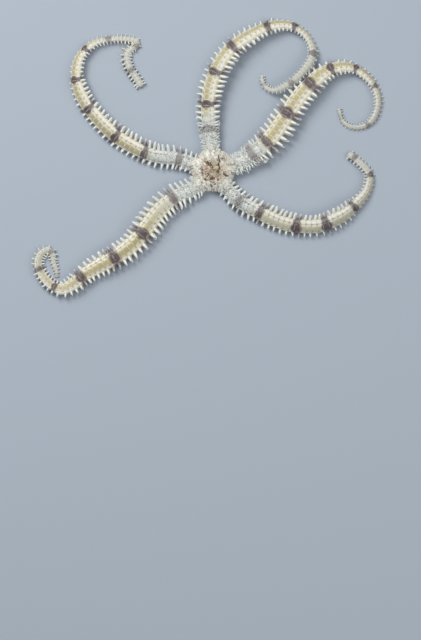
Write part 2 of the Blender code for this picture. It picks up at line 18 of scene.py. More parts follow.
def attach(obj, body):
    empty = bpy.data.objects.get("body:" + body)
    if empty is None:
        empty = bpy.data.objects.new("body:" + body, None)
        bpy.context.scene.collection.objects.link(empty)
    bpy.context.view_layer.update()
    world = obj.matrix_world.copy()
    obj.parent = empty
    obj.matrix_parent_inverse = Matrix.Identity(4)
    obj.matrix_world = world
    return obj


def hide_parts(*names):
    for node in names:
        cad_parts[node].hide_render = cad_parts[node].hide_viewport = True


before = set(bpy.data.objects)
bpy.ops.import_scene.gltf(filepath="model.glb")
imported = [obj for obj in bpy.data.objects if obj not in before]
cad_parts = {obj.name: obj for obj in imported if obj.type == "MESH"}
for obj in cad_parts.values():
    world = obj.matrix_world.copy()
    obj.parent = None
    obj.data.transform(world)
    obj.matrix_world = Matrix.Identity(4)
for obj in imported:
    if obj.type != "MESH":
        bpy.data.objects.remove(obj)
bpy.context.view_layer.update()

MM = 0.001
SEED = 7
random.seed(SEED)

# Middle of the disc on the floor, measured from the origin
DISC_CENTRE = Vector((1.78, -3.74))

# Disc: outline between the arms, reach of its lobes over the arms, and its heights
DISC_RADIUS = 5.6
LOBE_REACH = 1.6
LOBE_WIDTH_DEG = 17.0
DISC_MIDDLE_Z = 2.0
DISC_TOP_Z = 4.3
DISC_UNDER_Z = 0.34

# Directions of arms a to e where they leave the disc
ARM_DIRECTIONS_DEG = (164.0, 96.0, 15.0, -53.5, -133.0)

# Mouth: its pit, the jaws with papillae on each side, the shields between the arms and the
# smaller plates beside them
MOUTH_RADIUS = 2.95
MOUTH_ROOF_Z = 1.55
JAW_COUNT = 5
FIRST_JAW_DEG = -90.0
JAW_TIP = 0.55
JAW_REACH = 2.62
JAW_GAP = 0.21
JAW_MIDDLE_Z = 0.70
JAW_HALF_HEIGHT = 0.58
PAPILLAE = 5
FIRST_PAPILLA = 0.25
PAPILLA_STEP = 0.38
SHIELD_RADIUS = 3.85
SHIELD_SIZE = 0.72
SIDE_PLATE_RADIUS = 3.35
SIDE_PLATE_TURN = 0.33

# Arm section for a half width of 1: its corners, which say how high a rolled arm lies, its smooth
# outline with the powers that square it, how much wider the far end of a solid segment is, and
# how far the floor cuts into the lowest edges
ARM_SECTION = [
    (0.40, 0.66), (0.84, 0.36), (1.00, -0.10), (0.62, -0.66),
    (-0.62, -0.66), (-1.00, -0.10), (-0.84, 0.36), (-0.40, 0.66),
]
SECTION_TOP = 0.66
SECTION_UNDER = 0.62
SECTION_POWER_ACROSS = 0.85
SECTION_POWER_UP = 0.8
SEGMENT_FAR = 1.06
FLOOR_BITE = 0.1

# Segments: their length grows with the width of the arm, and the last may be longer
SEGMENT_BASE_LENGTH = 0.72
SEGMENT_LENGTH_PER_WIDTH = 0.46
LAST_SEGMENT = 1.3

# Arms, with the routes, widths, rolls and lifts of the solids and spines that reach about as
# far. "route" is the middle line from the middle of the disc. "half_width", "roll" (degrees
# towards the left), "lift" (off the floor), "left_spines" and "right_spines" (reach past that
# side) and "dull" (how much of the olive is lost) are (distance, value) profiles. "fine" is how
# far the small dense spines reach, "grey" where the white near the disc fades, "warts" how far
# warts cover the top, and "bands" the dark bands: distance and number of dark segments.
ARMS = {
    "arm_a": {
        "fine": -2.0,
        "grey": (10.0, 20.0),
        "dull": [(0, 0.1), (66, 0.1), (76, 0.9), (89, 1.0)],
        "warts": 6.0,
        "route": [
            (-4.7, 1.4), (-10.7, 3.5), (-16.9, 4.2), (-23.4, 6.7), (-29.9, 10.9), (-35.1, 16.1),
            (-39.1, 21.4), (-41.1, 27.4), (-40.0, 34.0), (-35.5, 38.2), (-30.1, 39.4),
            (-25.2, 39.3), (-23.2, 38.7), (-23.0, 37.6), (-24.5, 36.6), (-25.8, 35.2),
            (-25.8, 32.9), (-24.9, 30.4), (-23.2, 27.9), (-21.8, 25.5),
        ],
        "half_width": [
            (0, 1.8), (12, 2.0), (30, 2.1), (42, 1.85), (50, 1.6), (57, 1.3), (64, 0.95),
            (72, 0.85), (80, 0.95), (89, 0.95),
        ],
        "roll": [(0, 12), (8, 25), (20, 35), (45, 38), (62, 50), (70, 45), (76, 0), (89, 0)],
        "left_spines": [
            (0, 1.2), (8, 1.65), (20, 1.4), (38, 1.2), (44, 0.7), (56, 0.35), (89, 0.4),
        ],
        "right_spines": [
            (0, 1.4), (8, 2.0), (26, 2.0), (31, 1.45), (44, 1.4), (50, 0.85), (66, 0.45),
            (78, 0.8), (89, 0.6),
        ],
        "bands": [
            (6.0, 1), (16.5, 1), (26.4, 1), (37.8, 1), (47.4, 1), (57.3, 1), (64.8, 2), (74.7, 1),
            (83.7, 1),
        ],
    },
    "arm_b": {
        "fine": 8.0,
        "grey": (6.0, 13.0),
        "dull": [(0, 0.1), (54, 0.1), (64, 0.8), (88, 1.0)],
        "warts": 12.0,
        "route": [
            (-0.6, 6.2), (-1.1, 9.8), (-1.4, 14.5), (-1.5, 19.9), (-1.0, 24.3), (0.4, 28.7),
            (2.4, 32.7), (5.3, 36.3), (10.0, 39.7), (14.8, 42.3), (19.9, 43.6), (24.6, 42.8),
            (28.1, 40.0), (29.8, 35.8), (29.0, 32.5), (25.9, 28.6), (22.3, 25.7), (18.1, 23.9),
            (15.7, 24.9), (14.6, 27.0), (14.5, 28.5),
        ],
        "half_width": [
            (0, 1.9), (12, 2.1), (36, 2.2), (44, 1.8), (51, 1.45), (56, 1.15), (66, 1.0),
            (75, 0.85), (82, 0.6), (88, 0.38),
        ],
        "roll": [(0, 12), (10, 27), (30, 38), (48, 48), (58, 52), (64, 20), (88, 10)],
        "lift": [(0, 0), (59, 0), (67, 2.0), (79, 2.0), (86, 0), (88, 0)],
        "left_spines": [
            (0, 1.2), (10, 1.85), (18, 1.55), (30, 1.25), (44, 1.1), (50, 0.4), (56, 0.3),
            (66, 0.4), (88, 0.25),
        ],
        "right_spines": [
            (0, 1.3), (10, 1.5), (18, 2.1), (28, 2.05), (36, 1.4), (44, 1.1), (50, 0.6),
            (58, 0.3), (88, 0.3),
        ],
        "bands": [
            (6.3, 1), (13.6, 1), (23.4, 1), (32.6, 1), (44.7, 1), (52.8, 1), (63.3, 2), (74.4, 2),
            (83.7, 1),
        ],
    },
    "arm_c": {
        "fine": 10.0,
        "grey": (8.0, 14.0),
        "dull": [(0, 0.0), (58, 0.1), (72, 0.8), (83, 1.0)],
        "warts": 15.0,
        "route": [
            (5.0, 1.2), (8.6, 2.8), (12.6, 5.5), (16.6, 9.0), (20.4, 14.0), (23.2, 18.2),
            (26.2, 22.5), (29.2, 25.7), (32.4, 28.6), (35.8, 30.4), (39.7, 31.0), (43.2, 30.0),
            (46.3, 27.7), (48.4, 24.7), (49.4, 21.1), (48.9, 17.6), (47.3, 14.7), (44.5, 13.0),
            (41.1, 13.1), (38.7, 14.9), (37.8, 17.6), (37.6, 18.5),
        ],
        "half_width": [
            (0, 2.0), (15, 2.35), (36, 2.4), (45, 1.8), (51, 1.4), (58, 1.1), (66, 0.95),
            (74, 0.7), (83, 0.4),
        ],
        "roll": [(0, 5), (15, 12), (32, 20), (42, 30), (52, 48), (70, 48), (83, 20)],
        "left_spines": [
            (0, 1.5), (8, 1.9), (24, 1.95), (36, 1.5), (44, 0.8), (54, 0.45), (64, 0.4),
            (83, 0.25),
        ],
        "right_spines": [
            (0, 1.8), (8, 2.3), (16, 2.5), (26, 1.75), (32, 1.75), (42, 0.95), (50, 0.4),
            (83, 0.25),
        ],
        "bands": [
            (7.5, 1), (13.2, 1), (24.0, 2), (35.1, 2), (42.6, 1), (50.1, 1), (57.9, 1), (70.5, 1),
            (80.1, 3),
        ],
    },
    "arm_d": {
        "fine": -2.0,
        "grey": (8.0, 15.0),
        "dull": [(0, 0.35), (50, 0.35), (58, 0.8), (65, 1.0)],
        "warts": 12.0,
        "route": [
            (3.2, -4.5), (6.1, -7.6), (9.4, -10.2), (13.5, -12.4), (17.4, -14.4), (22.1, -16.1),
            (26.8, -16.7), (31.5, -16.6), (35.6, -15.1), (39.8, -12.8), (43.0, -9.8),
            (45.9, -6.2), (46.9, -2.1), (45.9, 0.3), (43.6, 2.6), (40.8, 4.8),
        ],
        "half_width": [
            (0, 1.8), (14, 2.1), (36, 2.1), (45, 1.6), (52, 1.2), (60, 1.05), (65, 0.9),
        ],
        "roll": [(0, -8), (12, -30), (40, -38), (48, -48), (58, -40), (65, -15)],
        "left_spines": [
            (0, 1.3), (8, 1.5), (18, 1.95), (23, 1.85), (28, 1.4), (42, 1.5), (48, 0.6),
            (65, 0.4),
        ],
        "right_spines": [
            (0, 1.2), (8, 1.7), (16, 1.4), (38, 1.2), (46, 0.6), (52, 0.35), (65, 0.3),
        ],
        "bands": [(6.6, 1), (13.5, 1), (25.2, 2), (34.2, 2), (44.1, 1), (55.2, 1), (62.1, 1)],
    },
    "arm_e": {
        "fine": 1.5,
        "grey": (5.0, 13.0),
        "dull": [(0, 0.4), (12, 0.4), (24, 0.0), (60, 0.1), (76, 0.8)],
        "warts": 9.0,
        "route": [
            (-4.0, -4.4), (-8.2, -6.5), (-12.4, -8.7), (-15.9, -11.7), (-18.8, -15.4),
            (-21.6, -19.3), (-24.8, -22.6), (-29.2, -25.8), (-34.0, -28.5), (-38.2, -31.0),
            (-42.4, -34.4), (-45.4, -35.7), (-48.4, -34.6), (-51.1, -31.8), (-52.6, -28.5),
            (-51.9, -25.3), (-49.6, -23.8), (-48.3, -25.2), (-48.0, -27.4), (-47.2, -29.8),
            (-46.9, -31.9),
        ],
        "half_width": [
            (0, 1.9), (20, 2.3), (34, 2.3), (46, 1.9), (52, 1.6), (57, 1.25), (64, 1.1),
            (70, 0.85), (75, 0.65), (79, 0.38),
        ],
        "roll": [(0, 0), (20, 4), (40, 8), (52, -18), (64, -22), (79, 0)],
        "left_spines": [
            (0, 1.7), (8, 2.15), (30, 2.0), (36, 1.5), (48, 1.3), (54, 0.75), (66, 0.5),
            (79, 0.25),
        ],
        "right_spines": [
            (0, 1.8), (8, 2.2), (22, 2.1), (28, 1.5), (38, 1.65), (48, 1.25), (54, 0.8),
            (66, 0.6), (79, 0.25),
        ],
        "bands": [
            (9.0, 1), (23.1, 2), (34.2, 2), (45.9, 2), (55.2, 1), (62.4, 1), (70.8, 1), (78.0, 1),
        ],
    },
}

# Skin: depth of its groove between segments, where its tubes start under the disc, the rows
# over one segment and past the tip, as (distance, width), and the size of its grids
SKIN_GROOVE = 0.03
SKIN_ROOT = -2.5
SKIN_ROWS = (0.0, 0.14, 0.34, 0.56, 0.78, 0.92)
SKIN_TIP = ((0.0, 1.0), (0.3, 0.8), (0.48, 0.45), (0.54, 0.0))
SKIN_AROUND = 32
DISC_ROWS = 48
DISC_COLUMNS = 170

# The table of each arm runs a little past both its ends, and its directions are taken from
# points a little before and after
ROOT_SPARE = 4.0
TIP_SPARE = 3.0
SAMPLE_STEP = 0.1
DIRECTION_REACH = 0.5

# Lift of an arm that lies flat
NO_LIFT = [(0, 0)]

# Plates of the arm: spread of the upper ones for a half width of 1, and the others' places round
# the arm, in degrees from its left side
DORSAL_SPREAD = 0.80
LATERAL_MIDDLE_DEG = 6.0
LATERAL_HALF_DEG = 54.0
LATERAL_RIDGE = 0.07
VENTRAL_HALF_DEG = 34.0
PORE_DEG = 44.0
PORE_HALF_DEG = 9.0
UNDER_TURN = 1.5 * math.pi

# Bands are weaker where the arm is thin, as (half width, strength), and next to the disc
BAND_BY_WIDTH = [(0.4, 0.3), (0.8, 0.6), (1.3, 1.0)]
BAND_LOSS_BY_DISC = 0.32
BAND_EDGE = (0.84, 1.04)

# Half widths over which the olive colour comes in
PALE_WIDTHS = (0.7, 1.5)

# Spines: size, number and places of those in a fan. The fan runs between two angles to the arm's
# side; the rise of each spine keeps near a usual one, as (usual, reach, ease).
SPINE_LENGTH_PER_REACH = 1.15
SPINE_THICKNESS = 0.30
SPINE_FLATNESS = 0.66
SPINE_ROOT_DEPTH = 0.16
SHORTEST_SPINE = 0.4
FEWEST_SPINES = 3
MORE_SPINES_FROM = (0.75, 1.15)
SPINE_ROWS = (0.80,)
FINE_SPINE_ROWS = (0.35, 0.86)
SPINE_FAN_DEG = (-40.0, 30.0)
SPINE_RISE_DEG = (14.0, 26.0, 40.0)
SPINE_LEAN_DEG = 10.0
TURNED_UP_FULLY = 0.6

# Spines on thin ends reach further: by how much, and the half widths over which that fades
THIN_END_EXTRA = 0.14
THIN_WIDTHS = (1.0, 1.5)

# Changes where spines are fine, on the side turned down and on the side turned up: share taken
# off the thickness at the root and at the tip, and degrees added to the fan
SPINE_CHANGES = [(0.55, 0.40, 14.0), (0.34, 0.25, 0.0), (0.20, -0.30, -22.0)]

# Spines keep out of stretches of their own arm that are this far away along it
OWN_ARM_SPARE = 6.0

# Warts on the arms near the disc
WARTS_PER_MM = 36
WART_HEIGHT = (0.25, 0.60)
WART_SIZE = (0.09, 0.23)
WART_FLAT = np.array((0.6, 0.8, 0.1))

# Disc: long folds as lines, measured from its middle, and creases between its lumps
# Both are darkened with painted shade
DISC_FOLDS = [
    [(1.4, 4.3), (1.75, 3.2), (1.45, 1.9), (1.65, 0.4), (1.3, -1.0)],
    [(-3.0, 2.8), (-2.1, 2.0), (-1.3, 2.7), (-0.7, 1.5)],
    [(-3.5, 0.9), (-3.0, -0.1), (-3.3, -0.9)],
    [(-2.8, -2.6), (-2.0, -3.1), (-0.5, -2.3), (0.5, -2.6), (1.5, -3.0)],
    [(3.0, -1.2), (3.7, -1.7), (4.2, -1.8)],
    [(-0.9, -4.5), (-0.4, -4.8)],
]
FOLD_WIDTH = 0.08
FOLD_EASE = 0.24
CREASE_SIZE = 1.7
CREASE_WIDTH = 0.12

# What grows on the disc: a long lump on each side of an arm, rings of scales as (tilt in degrees,
# count, half length), grains and spinelets
LUMP_ASIDE_DEG = 12.0
LUMP_SIZE = (0.95, 0.55)
DISC_SCALE_RINGS = [
    (80, 7, 0.62), (66, 13, 0.60), (53, 19, 0.56), (41, 25, 0.52), (30, 30, 0.48),
    (19, 34, 0.44), (8, 38, 0.40), (-4, 40, 0.36),
]
DISC_GRANULES = 2700
GRANULE_SIZE = (0.08, 0.22)
DISC_SPINELETS = 900
SPINELET_LENGTH = (0.45, 1.0)
SPINELET_SIZE = (0.09, 0.14)

# Disc: pale lobes over the arms, and the ring over which the middle gets paler
PALE_LOBE_DEG = 20.0
PALE_RIM = (1.4, 4.8)

# Underside of the disc: the tilt where it begins, its paleness and grains, and the slits beside
# the arms, with the distances from the middle over which they start and end
UNDER_TILT = -0.2
UNDER_PALE = 0.35
DISC_UNDER_GRANULES = 900
UNDER_GRANULE_SIZE = (0.10, 0.20)
SLIT_ASIDE = 2.15
SLIT_WIDTH = 0.30
SLIT_START = (3.4, 3.7)
SLIT_END = (5.0, 5.4)

# Nothing lies under the floor or stands above the solids. Roots and tips of spines keep a little
# further off, and no spine rises more than this for a length of 1.
FLOOR_CLEAR = 0.01
HIGHEST = 4.95
ROOT_LOWEST = 0.2
TIP_LOWEST = 0.16
TIP_HIGHEST = HIGHEST - 0.15
STEEPEST = 0.98

# Points of a piece that are nearer to each other than this are joined
WELD = 1e-4

# Bake map: a strip for each arm, a round for the disc's upper side and one for its underside,
# and the width of a spine's patch
BAKE_EDGE = 0.01
BAKE_FIRST_STRIP = 0.02
BAKE_STRIP_STEP = 0.12
BAKE_STRIP = 0.11
BAKE_TIP_SPARE = 1.0
BAKE_ROUNDS = {True: (0.17, 0.81), False: (0.52, 0.81)}
BAKE_ROUND_RADIUS = 0.14
BAKE_PATCH = 0.003

# What the finishes read from each mesh
ATTRIBUTES = ("band", "tone", "pale", "near", "fine", "disc", "mouth", "along", "across")

# Camera: straight down, with the photograph's framing
PIXEL = 0.3
FRAME_HEIGHT_PX = 640
AIM_FROM_DISC = (-0.9, -44.85)
CAMERA_HEIGHT = 1200.0
SENSOR = 36.0

# Lights as name, place in metres, size and power; sky and floor
LIGHTS = [
    ("key", (-0.28, 0.32, 0.50), 0.34, 3.5),
    ("fill", (0.40, -0.15, 0.45), 0.40, 1.0),
]
SKY_COLOUR = (0.90, 0.94, 1.0, 1.0)
SKY_STRENGTH = 0.31
FLOOR_COLOUR = (0.40, 0.45, 0.51, 1.0)
FLOOR_HALF_SIZE = 0.6


def tint(red, green, blue):
    """Linear colour from the 0 to 255 values that a screen shows."""
    shares = (value / 255.0 for value in (red, green, blue))
    linear = (s / 12.92 if s <= 0.04045 else ((s + 0.055) / 1.055) ** 2.4 for s in shares)
    return (*linear, 1.0)


def unit(vectors):
    """Vectors of length 1."""
    return vectors / np.linalg.norm(vectors, axis=-1, keepdims=True)


def smoothstep(low, high, value):
    """0 below low, 1 above high, eased between them."""
    share = np.clip((value - low) / (high - low), 0.0, 1.0)
    return share * share * (3.0 - 2.0 * share)


def value_at(pairs, distance):
    """Read a (distance, value) profile, eased between its points."""
    if distance <= pairs[0][0]:
        return pairs[0][1]
    for (d0, v0), (d1, v1) in zip(pairs, pairs[1:]):
        if distance <= d1:
            return v0 + (v1 - v0) * float(smoothstep(d0, d1, distance))
    return pairs[-1][1]


def smooth_route(points, steps=16):
    """Centripetal curve through the route's points, as a dense list of points."""
    route = [Vector(p) for p in points]
    route = [2 * route[0] - route[1]] + route + [2 * route[-1] - route[-2]]
    dense = []
    for p0, p1, p2, p3 in zip(route, route[1:], route[2:], route[3:]):
        t0 = 0.0
        t1 = t0 + math.sqrt((p1 - p0).length)
        t2 = t1 + math.sqrt((p2 - p1).length)
        t3 = t2 + math.sqrt((p3 - p2).length)
        for step in range(steps):
            t = t1 + (t2 - t1) * step / steps
            a1 = p0.lerp(p1, (t - t0) / (t1 - t0))
            a2 = p1.lerp(p2, (t - t1) / (t2 - t1))
            a3 = p2.lerp(p3, (t - t2) / (t3 - t2))
            b1 = a1.lerp(a2, (t - t0) / (t2 - t0))
            b2 = a2.lerp(a3, (t - t1) / (t3 - t1))
            dense.append(b1.lerp(b2, (t - t1) / (t2 - t1)))
    dense.append(route[-2])
    return dense


def section_point(turn):
    """Smooth outline of the arm's section for a half width of 1; turn 90 degrees is its top."""
    cosine, sine = np.cos(turn), np.sin(turn)
    tall = np.where(sine > 0, SECTION_TOP, SECTION_UNDER)
    across = np.sign(cosine) * np.abs(cosine) ** SECTION_POWER_ACROSS
    rise = np.sign(sine) * tall * np.abs(sine) ** SECTION_POWER_UP
    return across, rise


class Segment:
    """One segment of an arm: where it lies and what the finishes read on it."""

    def __init__(self, arm, start, end):
        self.arm = arm
        self.start = start
        self.step = end - start
        self.middle = (start + end) / 2
        self.width = arm.profile("half_width", self.middle)
        self.fine = arm.fine(self.middle)
        self.values = {"pale": arm.pale(self.middle), "near": arm.near(self.middle)}
        self.values["tone"] = random.random()


class Arm:
    """One arm: a table of its middle line, directions and widths, and its segments."""

    def __init__(self, name, facts):
        self.name = name
        self.facts = facts
        route = smooth_route(facts["route"])
        behind = (route[1] - route[0]).normalized() * ROOT_SPARE
        beyond = (route[-1] - route[-2]).normalized() * TIP_SPARE
        line = np.array([route[0] - behind] + route + [route[-1] + beyond]) + DISC_CENTRE
        steps = np.linalg.norm(np.diff(line, axis=0), axis=1)
        marks = np.concatenate([[0.0], np.cumsum(steps)]) - ROOT_SPARE
        self.length = marks[-1] - TIP_SPARE
        self.table = self.make_table(line, marks)
        self.segments = self.make_segments()
        self.roots = self.make_roots(route[0].length - MOUTH_RADIUS)

    def profile(self, key, distance):
        """Value of one of the arm's profiles; an arm that lies flat gives no lift."""
        return value_at(self.facts.get(key, NO_LIFT), distance)

    def make_table(self, line, marks):
        """Rows of middle, left, up, forward and half width along the arm."""
        samples = np.arange(-ROOT_SPARE, marks[-1], SAMPLE_STEP)
        width = np.array([self.profile("half_width", d) for d in samples])
        roll = np.radians([self.profile("roll", d) for d in samples])
        lift = np.array([self.profile("lift", d) for d in samples])
        corners = [y * np.cos(roll) - x * np.sin(roll) for x, y in ARM_SECTION]
        height = -np.min(corners, axis=0) * width * SEGMENT_FAR - FLOOR_BITE + lift
        flat = [np.interp(samples, marks, line[:, axis]) for axis in (0, 1)]
        middle = np.stack([*flat, height], axis=1)
        order = np.arange(len(samples))
        reach = round(DIRECTION_REACH / SAMPLE_STEP)
        ahead = middle[np.minimum(order + reach, len(samples) - 1)]
        forward = unit(ahead - middle[np.maximum(order - reach, 0)])
        left = unit(np.cross([0.0, 0.0, 1.0], forward))
        up = np.cross(forward, left)
        cosine, sine = np.cos(roll)[:, None], np.sin(roll)[:, None]
        turned_left = left * cosine - up * sine
        turned_up = up * cosine + left * sine
        return np.hstack([middle, turned_left, turned_up, forward, width[:, None]])

    def at(self, distance):
        """Middle points, left, up and forward directions, and half widths."""
        place = (np.atleast_1d(distance) + ROOT_SPARE) / SAMPLE_STEP
        place = np.clip(place, 0, len(self.table) - 1.001)
        low = place.astype(int)
        share = (place - low)[:, None]
        rows = self.table[low] * (1 - share) + self.table[low + 1] * share
        return rows[:, 0:3], rows[:, 3:6], rows[:, 6:9], rows[:, 9:12], rows[:, 12]

    def segment_length(self, distance):
        """Length of a segment, which grows with the width of the arm."""
        return SEGMENT_BASE_LENGTH + SEGMENT_LENGTH_PER_WIDTH * self.profile("half_width", distance)

    def make_segments(self):
        """Segments from the disc to the tip."""
        ends = [0.0]
        while ends[-1] + LAST_SEGMENT * self.segment_length(ends[-1]) <= self.length:
            ends.append(ends[-1] + self.segment_length(ends[-1]))
        ends.append(self.length)
        return [Segment(self, a, b) for a, b in zip(ends, ends[1:])]

    def make_roots(self, reach):
        """Segments under the disc, up to the mouth."""
        step = self.segment_length(0.0)
        count = int(reach / step + 0.5)
        return [Segment(self, -(k + 1) * step, -k * step) for k in range(count)]

    def band_at(self, distance, across):
        """How dark the bands are: ovals on the top, shorter towards the sides."""
        dark = np.zeros(np.shape(distance))
        for place, count in self.facts["bands"]:
            half = (0.52 + 0.24 * count) * self.segment_length(place)
            off = np.abs(distance - place) / half + 0.32 * across ** 2
            strength = value_at(BAND_BY_WIDTH, self.profile("half_width", place))
            strength *= 1 - BAND_LOSS_BY_DISC * self.near(place)
            dark = np.maximum(dark, strength * (1 - smoothstep(*BAND_EDGE, off)))
        return dark

    def fine(self, distance):
        """1 next to the disc, where the spines are fine and dense, and 0 further out."""
        return float(1 - smoothstep(self.facts["fine"] - 3.0, self.facts["fine"] + 2.0, distance))

    def near(self, distance):
        """1 next to the disc, where the arm is white and warty, and 0 further out."""
        return float(1 - smoothstep(*self.facts["grey"], distance))

    def pale(self, distance):
        """How much of the olive colour is lost: near the disc, on dull arms and thin ends."""
        thin = 1 - smoothstep(*PALE_WIDTHS, self.profile("half_width", distance))
        return float(max(0.7 * self.near(distance), 0.8 * thin, self.profile("dull", distance)))

    def turned_up(self, distance, side):
        """How far a side of the rolled arm is turned up (1) or towards the floor (-1)."""
        _, left, _, _, _ = self.at(distance)
        return float(np.clip(side * left[0, 2] / TURNED_UP_FULLY, -1.0, 1.0))

    def surface(self, distance, turn, lift=0.0):
        """Points over the arm, lifted off its section."""
        middle, left, up, _, width = self.at(distance)
        across, rise = section_point(turn)
        out = unit(np.stack([across, rise / SECTION_TOP ** 2], axis=1))
        flat = np.stack([across, rise], axis=1) * width[:, None]
        flat = flat + out * np.reshape(lift, (-1, 1))
        return middle + left * flat[:, :1] + up * flat[:, 1:]

    def bake_place(self, distance, turn):
        """Place on the unwrap of the skin: along the arm's strip and round the arm."""
        strip = BAKE_FIRST_STRIP + BAKE_STRIP_STEP * list(ARMS).index(self.name)
        share = (distance + ROOT_SPARE) / (self.length + ROOT_SPARE + BAKE_TIP_SPARE)
        return BAKE_EDGE + (1 - 2 * BAKE_EDGE) * share, strip + BAKE_STRIP * turn / (2 * math.pi)


def made_mesh(name, operation, **settings):
    """A mesh made by one of the basic shapes."""
    bm = bmesh.new()
    operation(bm, **settings)
    mesh = bpy.data.meshes.new(name)
    bm.to_mesh(mesh)
    bm.free()
    return mesh


def in_scene(name, data):
    """Object for a mesh, a light or a camera, in the scene."""
    obj = bpy.data.objects.new(name, data)
    bpy.context.scene.collection.objects.link(obj)
    return obj


class Round:
    """A closed ball from which plates, granules and spines are mapped."""

    def __init__(self, around, rings, corner=2.0):
        settings = {"u_segments": around, "v_segments": rings, "radius": 1.0}
        self.mesh = made_mesh("ball", bmesh.ops.create_uvsphere, **settings)
        x, y, self.h = np.array([vert.co[:] for vert in self.mesh.vertices]).T
        self.spread = np.hypot(x, y)
        self.angle = np.arctan2(y, x)
        cosine, sine = np.cos(self.angle), np.sin(self.angle)
        rim = np.abs(cosine) ** corner + np.abs(sine) ** corner
        reach = self.spread ** 0.8 * rim ** (-1.0 / corner)
        self.u = reach * cosine
        self.v = reach * sine


class Sheet:
    """A flat grid from which skins are mapped: u and v run from 0 to 1."""

    def __init__(self, along, across):
        settings = {"x_segments": along, "y_segments": across, "size": 1.0}
        self.mesh = made_mesh("sheet", bmesh.ops.create_grid, **settings)
        x, y, _ = np.array([vert.co[:] for vert in self.mesh.vertices]).T
        self.u = (x + 1) / 2
        self.v = (y + 1) / 2


class Piece:
    """A joined piece in the making: its shapes, their points and what the finish reads."""

    def __init__(self, name):
        self.name = name
        self.bm = bmesh.new()
        self.points = []
        self.bakes = []
        self.values = {key: [] for key in ATTRIBUTES}

    def add(self, shape, points, bake, **values):
        """Add one shape with its points, its place on the bake map and its values."""
        self.bm.from_mesh(shape.mesh)
        points[:, 2] = np.clip(points[:, 2], FLOOR_CLEAR, HIGHEST)
        self.points.append(points)
        self.bakes.append(np.stack(np.broadcast_arrays(*bake), axis=1))
        for key, parts in self.values.items():
            parts.append(np.broadcast_to(values.get(key, 0.0), len(points)))

    def finish(self, material, slot, replaced=()):
        """Make the object, close its seams and let it ride."""
        mesh = bpy.data.meshes.new(self.name)
        self.bm.to_mesh(mesh)
        self.bm.free()
        mesh.vertices.foreach_set("co", (np.concatenate(self.points) * MM).ravel())
        for key, parts in self.values.items():
            attribute = mesh.attributes.new(key, "FLOAT", "POINT")
            attribute.data.foreach_set("value", np.concatenate(parts).astype("f"))
        corners = np.zeros(len(mesh.loops), dtype="i")
        mesh.loops.foreach_get("vertex_index", corners)
        bake_map = mesh.uv_layers.new(name="OFBake")
        bake_map.data.foreach_set("uv", np.concatenate(self.bakes)[corners].astype("f").ravel())
        bm = bmesh.new()
        bm.from_mesh(mesh)
        bmesh.ops.remove_doubles(bm, verts=bm.verts, dist=WELD * MM)
        bmesh.ops.recalc_face_normals(bm, faces=bm.faces)
        bm.to_mesh(mesh)
        bm.free()
        mesh.shade_smooth()
        mesh.materials.append(material)
        obj = in_scene(self.name, mesh)
        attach(obj, "root")
        if replaced:
            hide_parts(*replaced)


def add_spike(piece, root, tip, thick, sharp, flat, bake, **values):
    """Tapered spike with a blunt tip, a little narrower along the direction flat."""
    ahead = unit(tip - root)
    side = unit(flat - ahead * np.dot(flat, ahead))
    tall = np.cross(ahead, side)
    share = 0.5 + 0.5 * SPIKE.h
    radius = (thick + (sharp - thick) * share) * np.minimum(1.0, SPIKE.spread * 1.9)
    bend = np.linalg.norm(tip - root) * random.uniform(-0.06, 0.06) * 4 * share * (1 - share)
    points = root + np.outer(share, tip - root)
    points += np.outer(SPINE_FLATNESS * radius * np.cos(SPIKE.angle), side)
    points += np.outer(radius * np.sin(SPIKE.angle) + bend, tall)
    x = bake[0] + (share - 0.5) * BAKE_PATCH
    y = bake[1] + np.cos(SPIKE.angle) * BAKE_PATCH / 2
    piece.add(SPIKE, points, (x, y), along=share, across=np.sin(SPIKE.angle), **values)


def reach_out(root, direction, length):
    """Tip of a spine: the direction is bent where it would meet the floor or the ceiling."""
    low, high = (TIP_LOWEST - root[2]) / length, (TIP_HIGHEST - root[2]) / length
    rise = min(max(direction[2], low), high)
    rise = min(max(rise, -STEEPEST), STEEPEST)
    flat = direction[:2] / max(1e-6, np.linalg.norm(direction[:2]))
    return root + length * np.array([*(flat * math.sqrt(1 - rise * rise)), rise])


def skin_arm(piece, arm):
    """Tube of skin along one arm, with a groove between the segments."""
    rows = [(SKIN_ROOT, 0.0), (SKIN_ROOT, 1.0), (SKIN_ROOT / 2, 1.0)]
    for segment in arm.segments:
        for share in SKIN_ROWS:
            depth = 1.0 - SKIN_GROOVE * (1 - share) ** 3
            rows.append((segment.start + share * segment.step, depth))
    tip_width = arm.profile("half_width", arm.length)
    rows += [(arm.length + beyond * tip_width, share) for beyond, share in SKIN_TIP]
    distance, depth = np.array(rows).T
    sheet = Sheet(len(rows) - 1, SKIN_AROUND)
    row = np.rint(sheet.u * (len(rows) - 1)).astype(int)
    turn = 2 * math.pi * sheet.v
    middle, left, up, _, width = arm.at(distance[row])
    across, rise = section_point(turn)
    width = (width * depth[row])[:, None]
    points = middle + left * (across[:, None] * width) + up * (rise[:, None] * width)
    pale = np.array([arm.pale(d) for d in distance])[row]
    near = np.array([arm.near(d) for d in distance])[row]
    band = arm.band_at(distance, 0.8)[row]
    piece.add(sheet, points, arm.bake_place(distance[row], turn), band=band, pale=pale, near=near)


def off_degrees(angle, degrees):
    """Degrees between an angle and a direction."""
    return (np.degrees(angle) - degrees + 180.0) % 360.0 - 180.0


def disc_reach(angle):
    """Radius of the disc's outline in a direction."""
    reach = np.full(np.shape(angle), DISC_RADIUS)
    for degrees in ARM_DIRECTIONS_DEG:
        reach = reach + LOBE_REACH * np.exp(-(off_degrees(angle, degrees) / LOBE_WIDTH_DEG) ** 2)
    return reach


